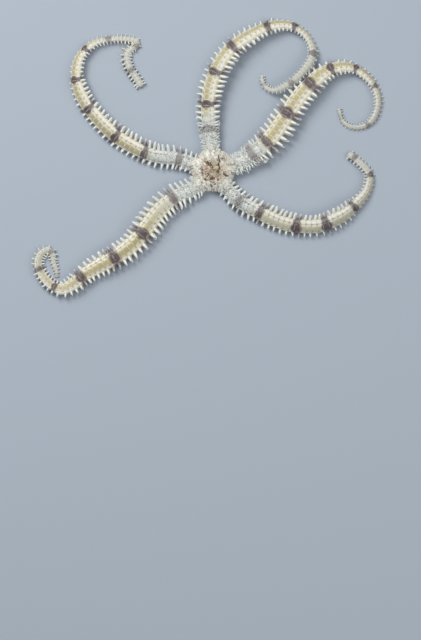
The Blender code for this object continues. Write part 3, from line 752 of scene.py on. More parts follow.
def polar(points):
    """Distance and direction of points from the middle of the disc."""
    flat = points[..., :2] - np.array(DISC_CENTRE)
    return np.hypot(flat[..., 0], flat[..., 1]), np.arctan2(flat[..., 1], flat[..., 0])


def by_arms(points):
    """How far points lie out along each arm's line, and how far aside of it."""
    radius, angle = polar(points)
    off = np.radians([off_degrees(angle, degrees) for degrees in ARM_DIRECTIONS_DEG])
    return radius * np.cos(off), np.abs(radius * np.sin(off))


def mouth_pit(radius):
    """1 inside the mouth, 0 outside it."""
    return 1 - smoothstep(MOUTH_RADIUS - 0.22, MOUTH_RADIUS + 0.04, radius)


def slit_under(points):
    """Slits painted as shade in the underside of the disc, one along each side of every arm."""
    along, aside = by_arms(points)
    slit = np.clip(1 - np.abs(aside - SLIT_ASIDE) / SLIT_WIDTH, 0, 1)
    ends = smoothstep(*SLIT_START, along) * (1 - smoothstep(*SLIT_END, along))
    return np.max(slit * ends, axis=0)


def disc_point(angle, tilt):
    """Points over the disc: tilt is 90 degrees at the top and 0 at the widest part."""
    across = np.maximum(np.cos(tilt), 0.0)
    z = np.sin(tilt)
    reach = disc_reach(angle) * across ** 0.75
    over = DISC_MIDDLE_Z + (DISC_TOP_Z - DISC_MIDDLE_Z) * z
    under = DISC_MIDDLE_Z + (DISC_MIDDLE_Z - DISC_UNDER_Z) * np.maximum(-1.0, 1.25 * z)
    under = under + (MOUTH_ROOF_Z - under) * mouth_pit(reach)
    return np.stack([
        DISC_CENTRE.x + reach * np.cos(angle),
        DISC_CENTRE.y + reach * np.sin(angle),
        np.where(z > 0, over, under),
    ], axis=-1)


def fold_at(flat):
    """How much the long folds sink the disc at a point and darken it with painted shade."""
    nearest = 9.0
    for fold in DISC_FOLDS:
        for start, end in zip(map(Vector, fold), map(Vector, fold[1:])):
            line = end - start
            share = min(1.0, max(0.0, (flat - start).dot(line) / line.length_squared))
            nearest = min(nearest, (flat - start - line * share).length)
    uneven = 0.22 * noise.noise(Vector((*flat, 5.0)) * 2.0)
    return float(0.72 * (1 - smoothstep(FOLD_WIDTH, FOLD_WIDTH + FOLD_EASE, nearest + uneven)))


def disc_bake(angle, tilt, over):
    """Place on the unwrap of the skin: a round for the disc's upper side, one for its underside."""
    x, y = BAKE_ROUNDS[over]
    reach = BAKE_ROUND_RADIUS * (1 - np.abs(tilt) / (math.pi / 2))
    return x + reach * np.cos(angle), y + reach * np.sin(angle)


def disc_marks(point):
    """Crease and paleness at a point: disc folds in painted shade, and pale lobes over the arms."""
    flat = Vector((point[0], point[1], 0.0))
    edges = noise.voronoi(flat / CREASE_SIZE)[0]
    crease = max(0.0, 1.0 - (edges[1] - edges[0]) / CREASE_WIDTH)
    crease *= float(smoothstep(-0.08, 0.12, noise.noise(flat * 0.8 + Vector((3.0, 1.0, 0.0)))))
    off_middle = flat - Vector((*DISC_CENTRE, 0.0))
    angle = math.atan2(off_middle.y, off_middle.x)
    off_arm = min(abs(off_degrees(angle, degrees)) for degrees in ARM_DIRECTIONS_DEG)
    lobe = math.exp(-(off_arm / PALE_LOBE_DEG) ** 2)
    rim = float(smoothstep(*PALE_RIM, off_middle.length))
    crease = max(0.8 * crease * (1 - 0.4 * rim), fold_at(off_middle.xy))
    return crease, min(1.0, 0.06 + rim * (0.58 + 0.50 * lobe))


def skin_disc(piece):
    """Skin of the disc: lumpy and creased above, flatter below."""
    for over in (True, False):
        sheet = Sheet(DISC_ROWS, DISC_COLUMNS)
        angle = 2 * math.pi * sheet.v - math.pi
        tilt = math.pi / 2 * (1 - sheet.u) * (1 if over else -1)
        points = disc_point(angle, tilt)
        creases = slit_under(points)
        pales = np.full(len(points), UNDER_PALE)
        for k in range(len(points) if over else 0):
            creases[k], pales[k] = disc_marks(points[k])
            lump = noise.fractal(Vector(points[k]) * 0.75, 1.0, 2.0, 3) * 0.24 - 0.22 * creases[k]
            points[k, 2] += lump * max(0.0, math.sin(tilt[k])) ** 0.5
        mouth = 0.0 if over else mouth_pit(polar(points)[0])
        bake = disc_bake(angle, tilt, over)
        # Creases and slits carry painted shade to the finish
        piece.add(sheet, points, bake, disc=1.0, tone=creases, pale=pales, mouth=mouth)


def build_skin(arms, material):
    """One skin over the disc and the arms."""
    piece = Piece("star_skin")
    for arm in arms:
        skin_arm(piece, arm)
    skin_disc(piece)
    nodes = [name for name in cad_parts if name.startswith("arm_") or name == "disc"]
    piece.finish(material, "arm_plates", nodes)


def add_plate(piece, segment, shape, distance, turn, lift, band):
    """Plate laid over the arm's surface."""
    points = segment.arm.surface(distance, turn, lift * segment.width)
    bake = segment.arm.bake_place(distance, turn)
    piece.add(shape, points, bake, along=shape.u, across=shape.v, band=band, **segment.values)


def dorsal_plate(piece, segment):
    """Fan-shaped plate on the top of one segment, over the near edge of the next."""
    spread = DORSAL_SPREAD + random.uniform(-0.03, 0.03)
    u, v, h = PLATE.u, PLATE.v, PLATE.h
    distance = segment.middle + segment.step * (0.06 + 0.60 * u * (1.0 - 0.20 * v * v))
    across = v * spread * (0.84 + 0.15 * u)
    turn = np.arccos(np.sign(across) * np.abs(across) ** (1 / SECTION_POWER_ACROSS))
    lift = 0.012 + 0.030 * u + 0.035 * (1 - v * v) + 0.040 * h
    add_plate(piece, segment, PLATE, distance, turn, lift, segment.arm.band_at(distance, v))


def lateral_plate(piece, segment, side):
    """Plate on one side of a segment, swollen where the spines stand."""
    u, v, h = PLATE.u, PLATE.v, PLATE.h
    distance = segment.middle + segment.step * (0.06 + 0.66 * u)
    turn = math.radians(LATERAL_MIDDLE_DEG) + v * math.radians(LATERAL_HALF_DEG) * (0.92 + 0.08 * u)
    turn = turn if side > 0 else math.pi - turn
    ridge = np.exp(-((u - 0.40) / 0.45) ** 2) * (1 - 0.5 * v * v)
    lift = 0.02 + LATERAL_RIDGE * ridge + 0.05 * h
    add_plate(piece, segment, PLATE, distance, turn, lift, segment.arm.band_at(distance, 0.9))


def ventral_plate(piece, segment):
    """Squarish plate under one segment, with a small scale over the pore on each side."""
    band = segment.arm.band_at(segment.middle, 1.0)
    u, v, h = PLATE.u, PLATE.v, PLATE.h
    distance = segment.middle + segment.step * 0.50 * u
    turn = UNDER_TURN + v * math.radians(VENTRAL_HALF_DEG) * (1.0 - 0.15 * u)
    add_plate(piece, segment, PLATE, distance, turn, 0.012 + 0.035 * h + 0.01 * u, band)
    distance = segment.start + segment.step * (0.62 + 0.34 * BEAD.u)
    for side in (-1, 1):
        turn = UNDER_TURN + side * math.radians(PORE_DEG) + BEAD.v * math.radians(PORE_HALF_DEG)
        add_plate(piece, segment, BEAD, distance, turn, 0.05 + 0.045 * BEAD.h, band)


def fan_size(segment, side):
    """Reach of a fan of spines, their thickness at root and tip, and the fan's upper end."""
    spines = segment.arm.profile("left_spines" if side > 0 else "right_spines", segment.middle)
    reach = SPINE_LENGTH_PER_REACH * spines * (1.0 - 0.10 * segment.fine)
    thick = min(0.05 + SPINE_THICKNESS * segment.width, 0.07 + 0.36 * reach)
    sharp = 0.06 + 0.06 * segment.width
    top = SPINE_FAN_DEG[1]
    turned = segment.arm.turned_up(segment.middle, side)
    shares = (segment.fine, max(0.0, -turned), max(0.0, turned))
    for share, (thinner, sharper, higher) in zip(shares, SPINE_CHANGES):
        thick *= 1.0 - thinner * share
        sharp *= 1.0 - sharper * share
        top += higher * share
    return reach, thick, sharp, top


def spine_line(segment, distance, side, turn, lean):
    """Root and direction of a spine, and the arm's upward direction there."""
    width = segment.width
    middle, left, up, forward, _ = (part[0] for part in segment.arm.at(distance))
    across, rise = section_point(turn)
    outward = left * (side * math.cos(turn)) + up * math.sin(turn)
    usual, reach, ease = (math.radians(value) for value in SPINE_RISE_DEG)
    angle = math.asin(max(-1.0, min(1.0, outward[2])))
    angle = usual + reach * math.tanh((angle - usual) / ease)
    flank = unit(np.array([*(left[:2] * side), 0.0]))
    direction = flank * math.cos(angle) + np.array([0.0, 0.0, math.sin(angle)])
    direction = direction * math.cos(lean) + forward * math.sin(lean)
    skin = middle + left * (side * across * width) + up * (rise * width)
    root = skin - outward * (SPINE_ROOT_DEPTH * width)
    root[2] = max(root[2], ROOT_LOWEST)
    return root, direction, up


def arm_spines(piece, segment, crowd):
    """Fans of spines on both sides of one segment."""
    arm, fine = segment.arm, segment.fine
    thin = 1.0 - float(smoothstep(*THIN_WIDTHS, segment.width))
    count = FEWEST_SPINES + sum(segment.width >= limit for limit in MORE_SPINES_FROM)
    rows = SPINE_ROWS if fine < 0.5 else FINE_SPINE_ROWS
    marks = {"fine": fine, "band": arm.band_at(segment.middle, 1.0), **segment.values}
    for side in (-1, 1):
        reach, thick, sharp, top = fan_size(segment, side)
        reach += THIN_END_EXTRA * thin
        swing = random.uniform(-4.0, 4.0)
        for row, turn_deg in itertools.product(rows, np.linspace(SPINE_FAN_DEG[0], top, count)):
            distance = segment.start + segment.step * row
            turn = math.radians(turn_deg + random.uniform(-4, 4) * (1 + fine))
            stray = random.uniform(-4.5, 4.5) * (1 + 3 * fine)
            lean = math.radians(SPINE_LEAN_DEG + swing - 0.06 * turn_deg + stray)
            root, direction, up = spine_line(segment, distance, side, turn, lean)
            share = 1.0 - 0.25 * (abs(turn_deg) / 55.0) ** 2
            share *= random.uniform(0.90 - 0.2 * fine, 1.05 + 0.5 * thin)
            length = 0.16 * segment.width + reach * share
            tip = reach_out(root, direction, length)
            while length > SHORTEST_SPINE and crowded(tip, arm, distance, crowd):
                length *= 0.8
                tip = reach_out(root, direction, length)
            bake = arm.bake_place(distance, turn if side > 0 else math.pi - turn)
            size = thick * random.uniform(0.92, 1.08)
            add_spike(piece, root, tip, size, sharp, up, bake, **marks)


def crowded(tip, arm, distance, crowd):
    """Whether a spine's tip would stand inside another arm, or in a later stretch of its own."""
    names, distances, middles, widths = crowd
    near = np.linalg.norm(middles - tip, axis=1) < widths
    other = (names != arm.name) | (np.abs(distances - distance) > OWN_ARM_SPARE)
    return bool(np.any(near & other))


def arm_crowd(arms):
    """Names, distances, middle points and widths of all arms, for keeping spines out of them."""
    parts = []
    for arm in arms:
        along = np.arange(0.0, arm.length, 0.5)
        middle, _, _, _, width = arm.at(along)
        parts.append((np.full(len(along), arm.name), along, middle, width))
    return tuple(np.concatenate(part) for part in zip(*parts))


def arm_warts(piece, arm):
    """Small grains and spinelets on the upper side of the arm near the disc."""
    reach = arm.facts["warts"]
    for _ in range(round(WARTS_PER_MM * reach)):
        distance = random.uniform(-0.5, reach)
        if random.random() < smoothstep(0.4 * reach, reach, distance):
            continue
        turn = math.radians(random.uniform(5.0, 175.0))
        height = np.array([0.0, random.uniform(*WART_HEIGHT)])
        foot, top = arm.surface(np.full(2, distance), np.full(2, turn), height)
        size = random.uniform(*WART_SIZE)
        lean = np.array([random.uniform(-0.16, 0.16) for _ in range(3)])
        top = top + lean * arm.profile("half_width", distance)
        add_spike(
            piece, foot, top, size, size * 0.7, WART_FLAT, arm.bake_place(distance, turn),
            pale=1.0, near=1.0, tone=random.random(), fine=1.0, band=arm.band_at(distance, 0.6),
        )


def build_arm(arm, crowd, finishes):
    """Plates and spines of one arm."""
    pieces = {kind: Piece(f"{arm.name}_{kind}") for kind in finishes}
    for segment in arm.roots + arm.segments:
        lateral_plate(pieces["lateral_plates"], segment, -1)
        lateral_plate(pieces["lateral_plates"], segment, 1)
        ventral_plate(pieces["ventral_plates"], segment)
    for segment in arm.segments:
        dorsal_plate(pieces["dorsal_plates"], segment)
        arm_spines(pieces["spines"], segment, crowd)
    arm_warts(pieces["spines"], arm)
    for kind, piece in pieces.items():
        piece.finish(finishes[kind], "arm_plates")


def disc_frame(angle, tilt):
    """Point of the disc with its directions east, north and out."""
    step = 0.03
    angles = np.array([angle, angle + step, angle - step, angle, angle])
    tilts = np.array([tilt, tilt, tilt, tilt + step, tilt - step])
    middle, east, west, north, south = disc_point(angles, tilts)
    east = unit(east - west)
    north = north - south
    north = unit(north - east * np.dot(north, east))
    return middle, east, north, np.cross(east, north)


def disc_scale(piece, shape, angle, tilt, size, turned, rise):
    """Scale on the disc: size is half its length and half its width."""
    middle, east, north, out = disc_frame(angle, tilt)
    crease, pale = disc_marks(middle) if tilt > UNDER_TILT else (0.0, UNDER_PALE)
    first = north * math.cos(turned) + east * math.sin(turned)
    second = np.cross(out, first)
    u, v, h = shape.u, shape.v, shape.h
    length, width = size
    wobble = 1.0 + 0.16 * np.sin(3 * shape.angle + random.uniform(0, 6.3)) * shape.spread
    points = middle + np.outer(u * wobble * length, first)
    points += np.outer(v * wobble * width, second)
    sag = 0.09 * (u * u * length ** 2 + v * v * width ** 2)
    points += np.outer(rise * (h + 0.25) - sag - 0.1 * crease, out)
    x, y = disc_bake(angle, tilt, tilt > 0)
    bake = (x + u * BAKE_PATCH / 2, y + v * BAKE_PATCH / 2)
    marks = {"disc": 1.0, "fine": random.random(), "tone": crease, "pale": pale}
    piece.add(shape, points, bake, along=u, across=v, **marks)


def build_scales(material):
    """Two long lumps beside each arm, and rings of scales, on the disc's upper side."""
    piece = Piece("disc_scales")
    for degrees, side in itertools.product(ARM_DIRECTIONS_DEG, (-1, 1)):
        angle = math.radians(degrees + side * LUMP_ASIDE_DEG + random.uniform(-2, 2))
        tilt = math.radians(random.uniform(36, 42))
        disc_scale(piece, PLATE, angle, tilt, LUMP_SIZE, side * 0.2, 0.16)
    for tilt_deg, count, size in DISC_SCALE_RINGS:
        for k in range(count):
            angle = 2 * math.pi * (k + random.uniform(-0.35, 0.35)) / count
            tilt = math.radians(tilt_deg + random.uniform(-5, 5))
            length = size * random.uniform(0.7, 1.3)
            shape = (length, length * random.uniform(0.6, 0.95))
            disc_scale(piece, BEAD, angle, tilt, shape, random.uniform(-1.5, 1.5), 0.14)
    piece.finish(material, "disc_skin")


def build_grains(material):
    """Grains all over the disc's upper side, and between the arms on its underside."""
    piece = Piece("disc_grains")
    for _ in range(DISC_GRANULES):
        angle = random.uniform(-math.pi, math.pi)
        tilt = math.acos(random.random() ** 0.667)
        if random.random() < 0.45:
            tilt = math.asin(random.uniform(-0.12, 0.6))
        size = random.uniform(*GRANULE_SIZE)
        shape = (size * 1.2, size * random.uniform(0.45, 0.85))
        turned = random.gauss(0.0, 0.6)
        disc_scale(piece, GRAIN, angle, tilt, shape, turned, random.uniform(0.16, 0.36))
    for _ in range(DISC_UNDER_GRANULES):
        angle = random.uniform(-math.pi, math.pi)
        tilt = math.asin(random.uniform(-0.80, -0.10))
        along, aside = by_arms(disc_point(np.array([angle]), np.array([tilt])))
        if np.any((along > 0) & (aside < SLIT_ASIDE + SLIT_WIDTH)):
            continue
        size = random.uniform(*UNDER_GRANULE_SIZE)
        disc_scale(piece, GRAIN, angle, tilt, (size, size * 0.8), random.uniform(-1.5, 1.5), 0.10)
    piece.finish(material, "disc_skin")


def build_spinelets(material):
    """Small spines round the edge of the disc and, fewer, on its top."""
    piece = Piece("disc_spinelets")
    for _ in range(DISC_SPINELETS):
        angle = random.uniform(-math.pi, math.pi)
        tilt = math.asin(min(0.95, abs(random.gauss(0.0, 0.28))))
        middle, east, north, out = disc_frame(angle, tilt)
        crease, pale = disc_marks(middle)
        lean = east * random.uniform(-0.3, 0.3) + north * random.uniform(-0.5, 0.2)
        tip = reach_out(middle, unit(out + lean), random.uniform(*SPINELET_LENGTH))
        size = random.uniform(*SPINELET_SIZE)
        add_spike(
            piece, middle - out * 0.1, tip, size, size * 0.55, north, disc_bake(angle, tilt, True),
            disc=1.0, tone=crease, pale=min(1.0, pale + 0.2), fine=random.random(),
        )
    piece.finish(material, "disc_skin")


class Number:
    """A number that varies over a surface, so shader maths reads as an expression."""

    def __init__(self, finish, socket):
        self.finish = finish
        self.socket = socket

    def maths(self, operation, *terms):
        """A maths node on one or two numbers."""
        node = self.finish.node("ShaderNodeMath", dict(enumerate(terms)), operation=operation)
        return Number(self.finish, node.outputs[0])

    def __add__(self, other):
        return self.maths("ADD", self, other)

    def __sub__(self, other):
        return self.maths("SUBTRACT", self, other)

    def __rsub__(self, other):
        return self.maths("SUBTRACT", other, self)

    def __mul__(self, other):
        return self.maths("MULTIPLY", self, other)

    def __abs__(self):
        return self.maths("ABSOLUTE", self)

    def ramp(self, low, high):
        """0 below low, 1 above high, eased between them."""
        values = {"Value": self, "From Min": low, "From Max": high}
        node = self.finish.node("ShaderNodeMapRange", values, interpolation_type="SMOOTHSTEP")
        return Number(self.finish, node.outputs[0])

    def wave(self):
        """Smooth up and down, once for each whole number."""
        return self.maths("SINE", self * (2 * math.pi)) * 0.5 + 0.5


class Finish:
    """A material: its nodes, and the ways a maker mixes colours on it."""

    def __init__(self, name):
        self.material = bpy.data.materials.new(name)
        self.material.use_nodes = True
        self.tree = self.material.node_tree
        self.place = self.node("ShaderNodeTexCoord", {}).outputs["Object"]

    def fill(self, node, values):
        """Set the sockets of a node to values, or link them."""
        for key, value in values.items():
            socket = node.inputs[key]
            if isinstance(value, Number):
                value = value.socket
            if isinstance(value, bpy.types.NodeSocket):
                self.tree.links.new(value, socket)
            else:
                socket.default_value = value

    def node(self, kind, values, **settings):
        """Any node: its type, the values or links of its sockets, and its settings."""
        node = self.tree.nodes.new(kind)
        for key, value in settings.items():
            setattr(node, key, value)
        self.fill(node, values)
        return node

    def reads(self, attribute):
        """A value that the mesh carries."""
        node = self.node("ShaderNodeAttribute", {}, attribute_name=attribute)
        return Number(self, node.outputs["Fac"])

    def cloud(self, size, detail=3.0, roughness=0.55):
        """Soft noise with features of the given size in millimetres."""
        values = {"Vector": self.place, "Scale": 1.0 / (size * MM), "Detail": detail}
        node = self.node("ShaderNodeTexNoise", {**values, "Roughness": roughness})
        return Number(self, node.outputs[0])

    def cells(self, size):
        """Distance to scattered points about the given size apart, in millimetres."""
        node = self.node("ShaderNodeTexVoronoi", {"Vector": self.place, "Scale": 1.0 / (size * MM)})
        return Number(self, node.outputs["Distance"])

    def mix(self, first, second, share):
        """Blend from the first colour to the second; a share under 0 or over 1 is cut off."""
        values = {0: share, 6: first, 7: second}
        return self.node("ShaderNodeMix", values, data_type="RGBA").outputs[2]

    def patches(self, first, second, size, low=0.4, high=0.6, detail=2.0):
        """Two colours in soft patches of the given size in millimetres."""
        return self.mix(first, second, self.cloud(size, detail).ramp(low, high))

    def wear(self, colour, roughness, height, bump, soft, depth=0.5):
        """Set the looks: bump is its strength and height, soft and depth are how light sinks in."""
        values = {"Strength": bump[0], "Distance": bump[1] * MM, "Height": height}
        normal = self.node("ShaderNodeBump", values).outputs[0]
        self.fill(self.tree.nodes["Principled BSDF"], {
            "Base Color": colour,
            "Roughness": roughness,
            "Normal": normal,
            "Subsurface Weight": soft,
            "Subsurface Scale": depth * MM,
            "Subsurface Radius": (1.0, 0.8, 0.6),
        })
        return self.material


# Colours of the animal, with painted shade for creases, slits and warts
OLIVE = tint(184, 171, 121)
OLIVE_DARK = tint(146, 133, 88)
CREAM = tint(230, 220, 190)
CHALK = tint(236, 234, 222)
GREY_CHALK = tint(198, 199, 190)
NEAR_WHITE = tint(230, 233, 228)
BAND_BROWN = tint(74, 59, 53)
BAND_PURPLE = tint(89, 74, 81)
BAND_PALE = tint(172, 162, 166)
GROOVE = tint(222, 213, 184)
# Painted shade: dark grey between the warts and at the roots of the fine spines and warts
PAINTED_WART_SHADE = tint(112, 116, 112)
SPINE_TIP = tint(232, 235, 233)
DISC_TAN = tint(198, 183, 152)
DISC_PINK = tint(205, 180, 153)
DISC_PALE = tint(241, 239, 229)
# Painted shade for the disc's creases and slits, also the colour of its brown spots
CREASE_SHADE_AND_SPOTS = tint(76, 56, 43)
MOUTH_GOLD = tint(196, 148, 52)
MOUTH_DEEP = tint(150, 96, 30)
UNDERSIDE = tint(220, 210, 180)


def banded(finish, colour, paler, strength=0.95):
    """Lay the dark bands over the colour of a plate: brown in the middle, paler at its edge."""
    mottle = finish.cloud(0.5, 4.0, 0.65)
    dark = finish.mix(BAND_BROWN, BAND_PURPLE, mottle.ramp(0.40, 0.60))
    dark = finish.mix(dark, BAND_PALE, paler + (mottle - 0.5) * 0.8)
    return finish.mix(colour, dark, finish.reads("band") * strength)


def whiter_with_painted_shade(finish, colour, shade=None):
    """Greyish white next to the disc, with dark painted shade, as a rule between the warts."""
    near = finish.reads("near")
    if shade is None:
        # Painted shade in cloudy patches between the warts
        shade = near * finish.cloud(0.50, 2.0).ramp(0.44, 0.62) * 0.5
    return finish.mix(finish.mix(colour, NEAR_WHITE, near * 0.75), PAINTED_WART_SHADE, shade)


def disc_colour(finish, lightness=0.0):
    """Pinkish tan, pale towards the arms; painted shade in creases, and small dark brown spots."""
    pale = finish.reads("pale")
    colour = finish.patches(DISC_TAN, DISC_PINK, 2.6, 0.44, 0.60)
    grain = (finish.reads("fine") - 0.45) * 0.9
    colour = finish.mix(colour, DISC_PALE, pale + 0.12 + grain + lightness)
    spots = finish.cloud(0.6, 2.0).ramp(0.57, 0.66) * (1 - pale * 0.7)
    # Painted shade in creases and slits, and the disc's own brown spots
    return finish.mix(colour, CREASE_SHADE_AND_SPOTS, finish.reads("tone") * 1.3 + spots * 0.7)


def skin_finish():
    """Skin between the plates, and on the disc under its grains."""
    finish = Finish("star_skin")
    mottle = finish.cloud(0.5, 4.0)
    arm = finish.mix(GROOVE, OLIVE, mottle * 0.6)
    arm = finish.mix(arm, GREY_CHALK, finish.reads("pale") * 0.8)
    # Next to the disc: greyish white with painted shade between the warts
    arm = banded(finish, whiter_with_painted_shade(finish, arm), mottle * 0.4, 0.85)
    # The disc's colour, with painted shade in its creases and slits
    colour = finish.mix(arm, disc_colour(finish, -0.15), finish.reads("disc"))
    gold = finish.mix(MOUTH_GOLD, MOUTH_DEEP, mottle.ramp(0.35, 0.7))
    colour = finish.mix(colour, gold, finish.reads("mouth"))
    return finish.wear(colour, mottle * 0.25 + 0.5, mottle + finish.cells(0.12), (0.5, 0.06), 0.12)


def dorsal_finish():
    """Plates along the top of the arm: olive in the middle, pale round it."""
    finish = Finish("dorsal_plate")
    pale = finish.reads("pale")
    side = abs(finish.reads("across"))
    fine = finish.cloud(0.25, 4.0)
    patch = 1 - (side + (fine - 0.5) * 1.3).ramp(0.26, 0.86)
    line = (finish.reads("along") + (fine - 0.5) * 0.5).ramp(0.66, 0.92)
    olive = finish.mix(OLIVE, OLIVE_DARK, finish.reads("tone") * 0.35 + (fine - 0.35) * 0.6)
    colour = finish.patches(CREAM, CHALK, 0.9, detail=3.0)
    colour = finish.mix(colour, olive, patch * (1 - pale * 0.85) * (1 - line * 0.8))
    colour = finish.mix(colour, GREY_CHALK, pale * 0.85 + pale * (fine - 0.5))
    # Next to the disc: greyish white with painted shade between the warts
    colour = banded(finish, whiter_with_painted_shade(finish, colour), side.ramp(0.70, 1.05) * 0.7 + line * 0.95)
    return finish.wear(colour, fine * 0.3 + 0.42, finish.cells(0.09) + fine, (0.35, 0.03), 0.10)


def lateral_finish():
    """Plates along the sides of the arm: chalky white, mottled where a band crosses."""
    finish = Finish("lateral_plate")
    fine = finish.cloud(0.3, 4.0)
    colour = finish.patches(CHALK, CREAM, 1.0, 0.42, 0.66)
    colour = finish.mix(colour, GREY_CHALK, finish.reads("pale"))
    # Next to the disc: greyish white with painted shade between the warts
    colour = banded(finish, whiter_with_painted_shade(finish, colour), (fine - 0.40) * 2.4, 0.90)
    return finish.wear(colour, fine * 0.3 + 0.48, finish.cells(0.12) + fine, (0.4, 0.04), 0.15)


def ventral_finish():
    """Plates along the underside: cream with a pinkish cast."""
    finish = Finish("ventral_plate")
    fine = finish.cloud(0.3, 4.0)
    colour = finish.patches(UNDERSIDE, CHALK, 1.0)
    colour = finish.mix(colour, BAND_PALE, finish.reads("band") * 0.6)
    return finish.wear(colour, fine * 0.25 + 0.42, fine, (0.3, 0.03), 0.15)


def spine_finish():
    """Spines: creamy at the root, glassy and bluish towards the tip, ribbed lengthwise."""
    finish = Finish("arm_spine")
    along = finish.reads("along")
    fine = finish.cloud(0.18, 3.0)
    colour = finish.mix(GROOVE, CHALK, along.ramp(0.15, 0.55))
    colour = finish.mix(colour, SPINE_TIP, along.ramp(0.55, 1.0))
    colour = finish.mix(colour, GREY_CHALK, finish.reads("pale") * 0.35)
    # Painted shade at the roots of the fine spines and warts, darkest at the root
    shade = finish.reads("fine") * (0.50 - along.ramp(0.1, 0.6) * 0.5)
    paler = along * 0.6 + (fine - 0.5) * 2.2 + 0.12
    colour = banded(finish, whiter_with_painted_shade(finish, colour, shade), paler, 0.90 - along.ramp(0.5, 1.0) * 0.5)
    ribs = (finish.reads("across") * 6.0).wave() * 0.4
    return finish.wear(colour, fine * 0.2 + 0.34, ribs + fine, (0.35, 0.025), 0.25, depth=0.6)


def scale_finish():
    """Scales, grains and spinelets of the disc."""
    finish = Finish("disc_scale")
    fine = finish.cloud(0.22, 4.0)
    height = finish.cells(0.12) + fine
    # The disc's colour, with painted shade in its creases
    return finish.wear(disc_colour(finish), fine * 0.25 + 0.5, height, (0.5, 0.04), 0.12)


def jaw_finish():
    """Jaws, shields of the mouth and their small teeth: smooth and pale."""
    finish = Finish("jaw_plate")
    fine = finish.cloud(0.3, 4.0)
    colour = finish.patches(CHALK, UNDERSIDE, 0.9)
    return finish.wear(colour, fine * 0.25 + 0.38, fine, (0.3, 0.03), 0.2)


def jaw_directions():
    """Directions of the five jaws."""
    return [math.radians(FIRST_JAW_DEG + 360.0 * k / JAW_COUNT) for k in range(JAW_COUNT)]


def from_mouth(angle, radius, across, height):
    """Points by the mouth: out along a direction, sideways, and above the floor."""
    radius, across, height = np.broadcast_arrays(radius, across, height)
    return np.stack([
        DISC_CENTRE.x + radius * np.cos(angle) - across * np.sin(angle),
        DISC_CENTRE.y + radius * np.sin(angle) + across * np.cos(angle),
        height,
    ], axis=-1)


def mouth_bake(points):
    """Place of points by the mouth on the unwrap of the disc's underside."""
    radius, angle = polar(points)
    share = np.minimum(radius / disc_reach(angle), 1.0)
    return disc_bake(angle, np.arccos(share ** (4 / 3)), False)


def build_jaws(material):
    """Five jaws with their papillae, replacing the plain wedges."""
    piece = Piece("jaws")
    flare = math.sin(math.pi / JAW_COUNT)
    upward = np.array([0.0, 0.0, 1.0])
    for angle in jaw_directions():
        radius = JAW_TIP + (JAW_REACH - JAW_TIP) * (WEDGE.u + 1) / 2
        across = WEDGE.v * (radius * flare - JAW_GAP)
        points = from_mouth(angle, radius, across, JAW_MIDDLE_Z + JAW_HALF_HEIGHT * WEDGE.h)
        piece.add(WEDGE, points, mouth_bake(points))
        for side, k in itertools.product((-1, 1), range(PAPILLAE)):
            radius = JAW_TIP + FIRST_PAPILLA + PAPILLA_STEP * k
            wide = radius * flare - JAW_GAP
            base = from_mouth(angle, radius + 0.05, side * (wide - 0.12), 0.26)
            tip = from_mouth(angle, radius - 0.10, side * (wide + 0.10), 0.14)
            add_spike(piece, base, tip, 0.13, 0.07, upward, mouth_bake(base))
    piece.finish(material, "jaw_plates", [f"jaw_{k + 1}" for k in range(JAW_COUNT)])


def build_mouth_plates(material):
    """Shields between the arms and small plates round the mouth, on the underside."""
    piece = Piece("oral_shields")
    u, v, h = PLATE.u, PLATE.v, PLATE.h
    for angle in jaw_directions():
        radius = SHIELD_RADIUS + u * SHIELD_SIZE
        plates = [from_mouth(angle, radius, v * (SHIELD_SIZE - 0.16 * u), 0.2 + 0.19 * h)]
        for off in (-SIDE_PLATE_TURN, SIDE_PLATE_TURN):
            radius = SIDE_PLATE_RADIUS + v * 0.30
            plates.append(from_mouth(angle + off, radius, u * 0.62, 0.24 + 0.16 * h))
        for points in plates:
            piece.add(PLATE, points, mouth_bake(points))
    piece.finish(material, "jaw_plates")


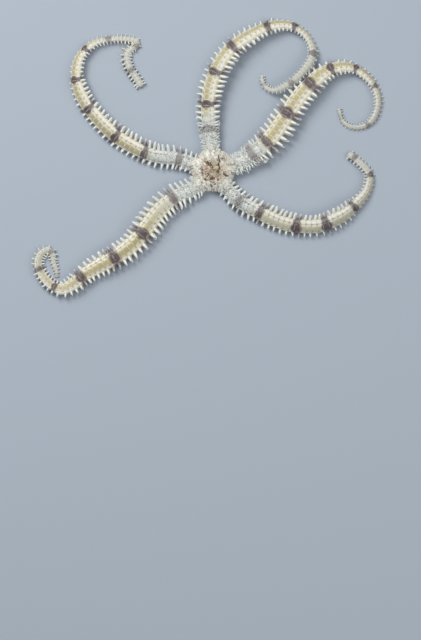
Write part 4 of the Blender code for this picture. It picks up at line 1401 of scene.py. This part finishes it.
def build_floor():
    """Plain pale floor."""
    settings = {"x_segments": 1, "y_segments": 1, "size": FLOOR_HALF_SIZE}
    mesh = made_mesh("floor", bmesh.ops.create_grid, **settings)
    floor = in_scene("floor", mesh)
    paper = bpy.data.materials.new("floor_paper")
    paper.use_nodes = True
    shader = paper.node_tree.nodes["Principled BSDF"]
    shader.inputs["Base Color"].default_value = FLOOR_COLOUR
    shader.inputs["Roughness"].default_value = 0.9
    mesh.materials.append(paper)


def build_lights():
    """Pale sky and soft lights that face the middle of the floor."""
    world = bpy.data.worlds.new("studio")
    world.use_nodes = True
    bpy.context.scene.world = world
    background = world.node_tree.nodes["Background"]
    background.inputs["Color"].default_value = SKY_COLOUR
    background.inputs["Strength"].default_value = SKY_STRENGTH
    for name, place, size, power in LIGHTS:
        light = bpy.data.lights.new(name, "AREA")
        light.size = size
        light.energy = power
        lamp = in_scene(name, light)
        lamp.location = place
        lamp.rotation_euler = (-Vector(place)).to_track_quat("-Z", "Y").to_euler()


def build_camera():
    """Camera that looks straight down."""
    scene = bpy.context.scene
    camera = bpy.data.cameras.new("camera")
    camera.sensor_width = SENSOR
    camera.lens = SENSOR * CAMERA_HEIGHT / (FRAME_HEIGHT_PX * PIXEL)
    view = in_scene("camera", camera)
    aim = Vector(AIM_FROM_DISC) + DISC_CENTRE
    view.location = (aim.x * MM, aim.y * MM, CAMERA_HEIGHT * MM)
    scene.camera = view
    scene.view_settings.view_transform = "Standard"


def main():
    """Lights, floor, camera and all the pieces of the animal."""
    arms = [Arm(name, facts) for name, facts in ARMS.items()]
    finishes = {
        "dorsal_plates": dorsal_finish(),
        "lateral_plates": lateral_finish(),
        "ventral_plates": ventral_finish(),
        "spines": spine_finish(),
    }
    build_lights()
    build_floor()
    build_camera()
    build_skin(arms, skin_finish())
    crowd = arm_crowd(arms)
    for arm in arms:
        build_arm(arm, crowd, finishes)
    grainy = scale_finish()
    build_scales(grainy)
    build_grains(grainy)
    build_spinelets(grainy)
    pale = jaw_finish()
    build_jaws(pale)
    build_mouth_plates(pale)


# Shapes that the pieces are mapped from
PLATE = Round(12, 6, corner=4.0)
BEAD = Round(9, 5, corner=2.3)
GRAIN = Round(7, 5)
SPIKE = Round(6, 7)
WEDGE = Round(28, 10, corner=5.0)

main()
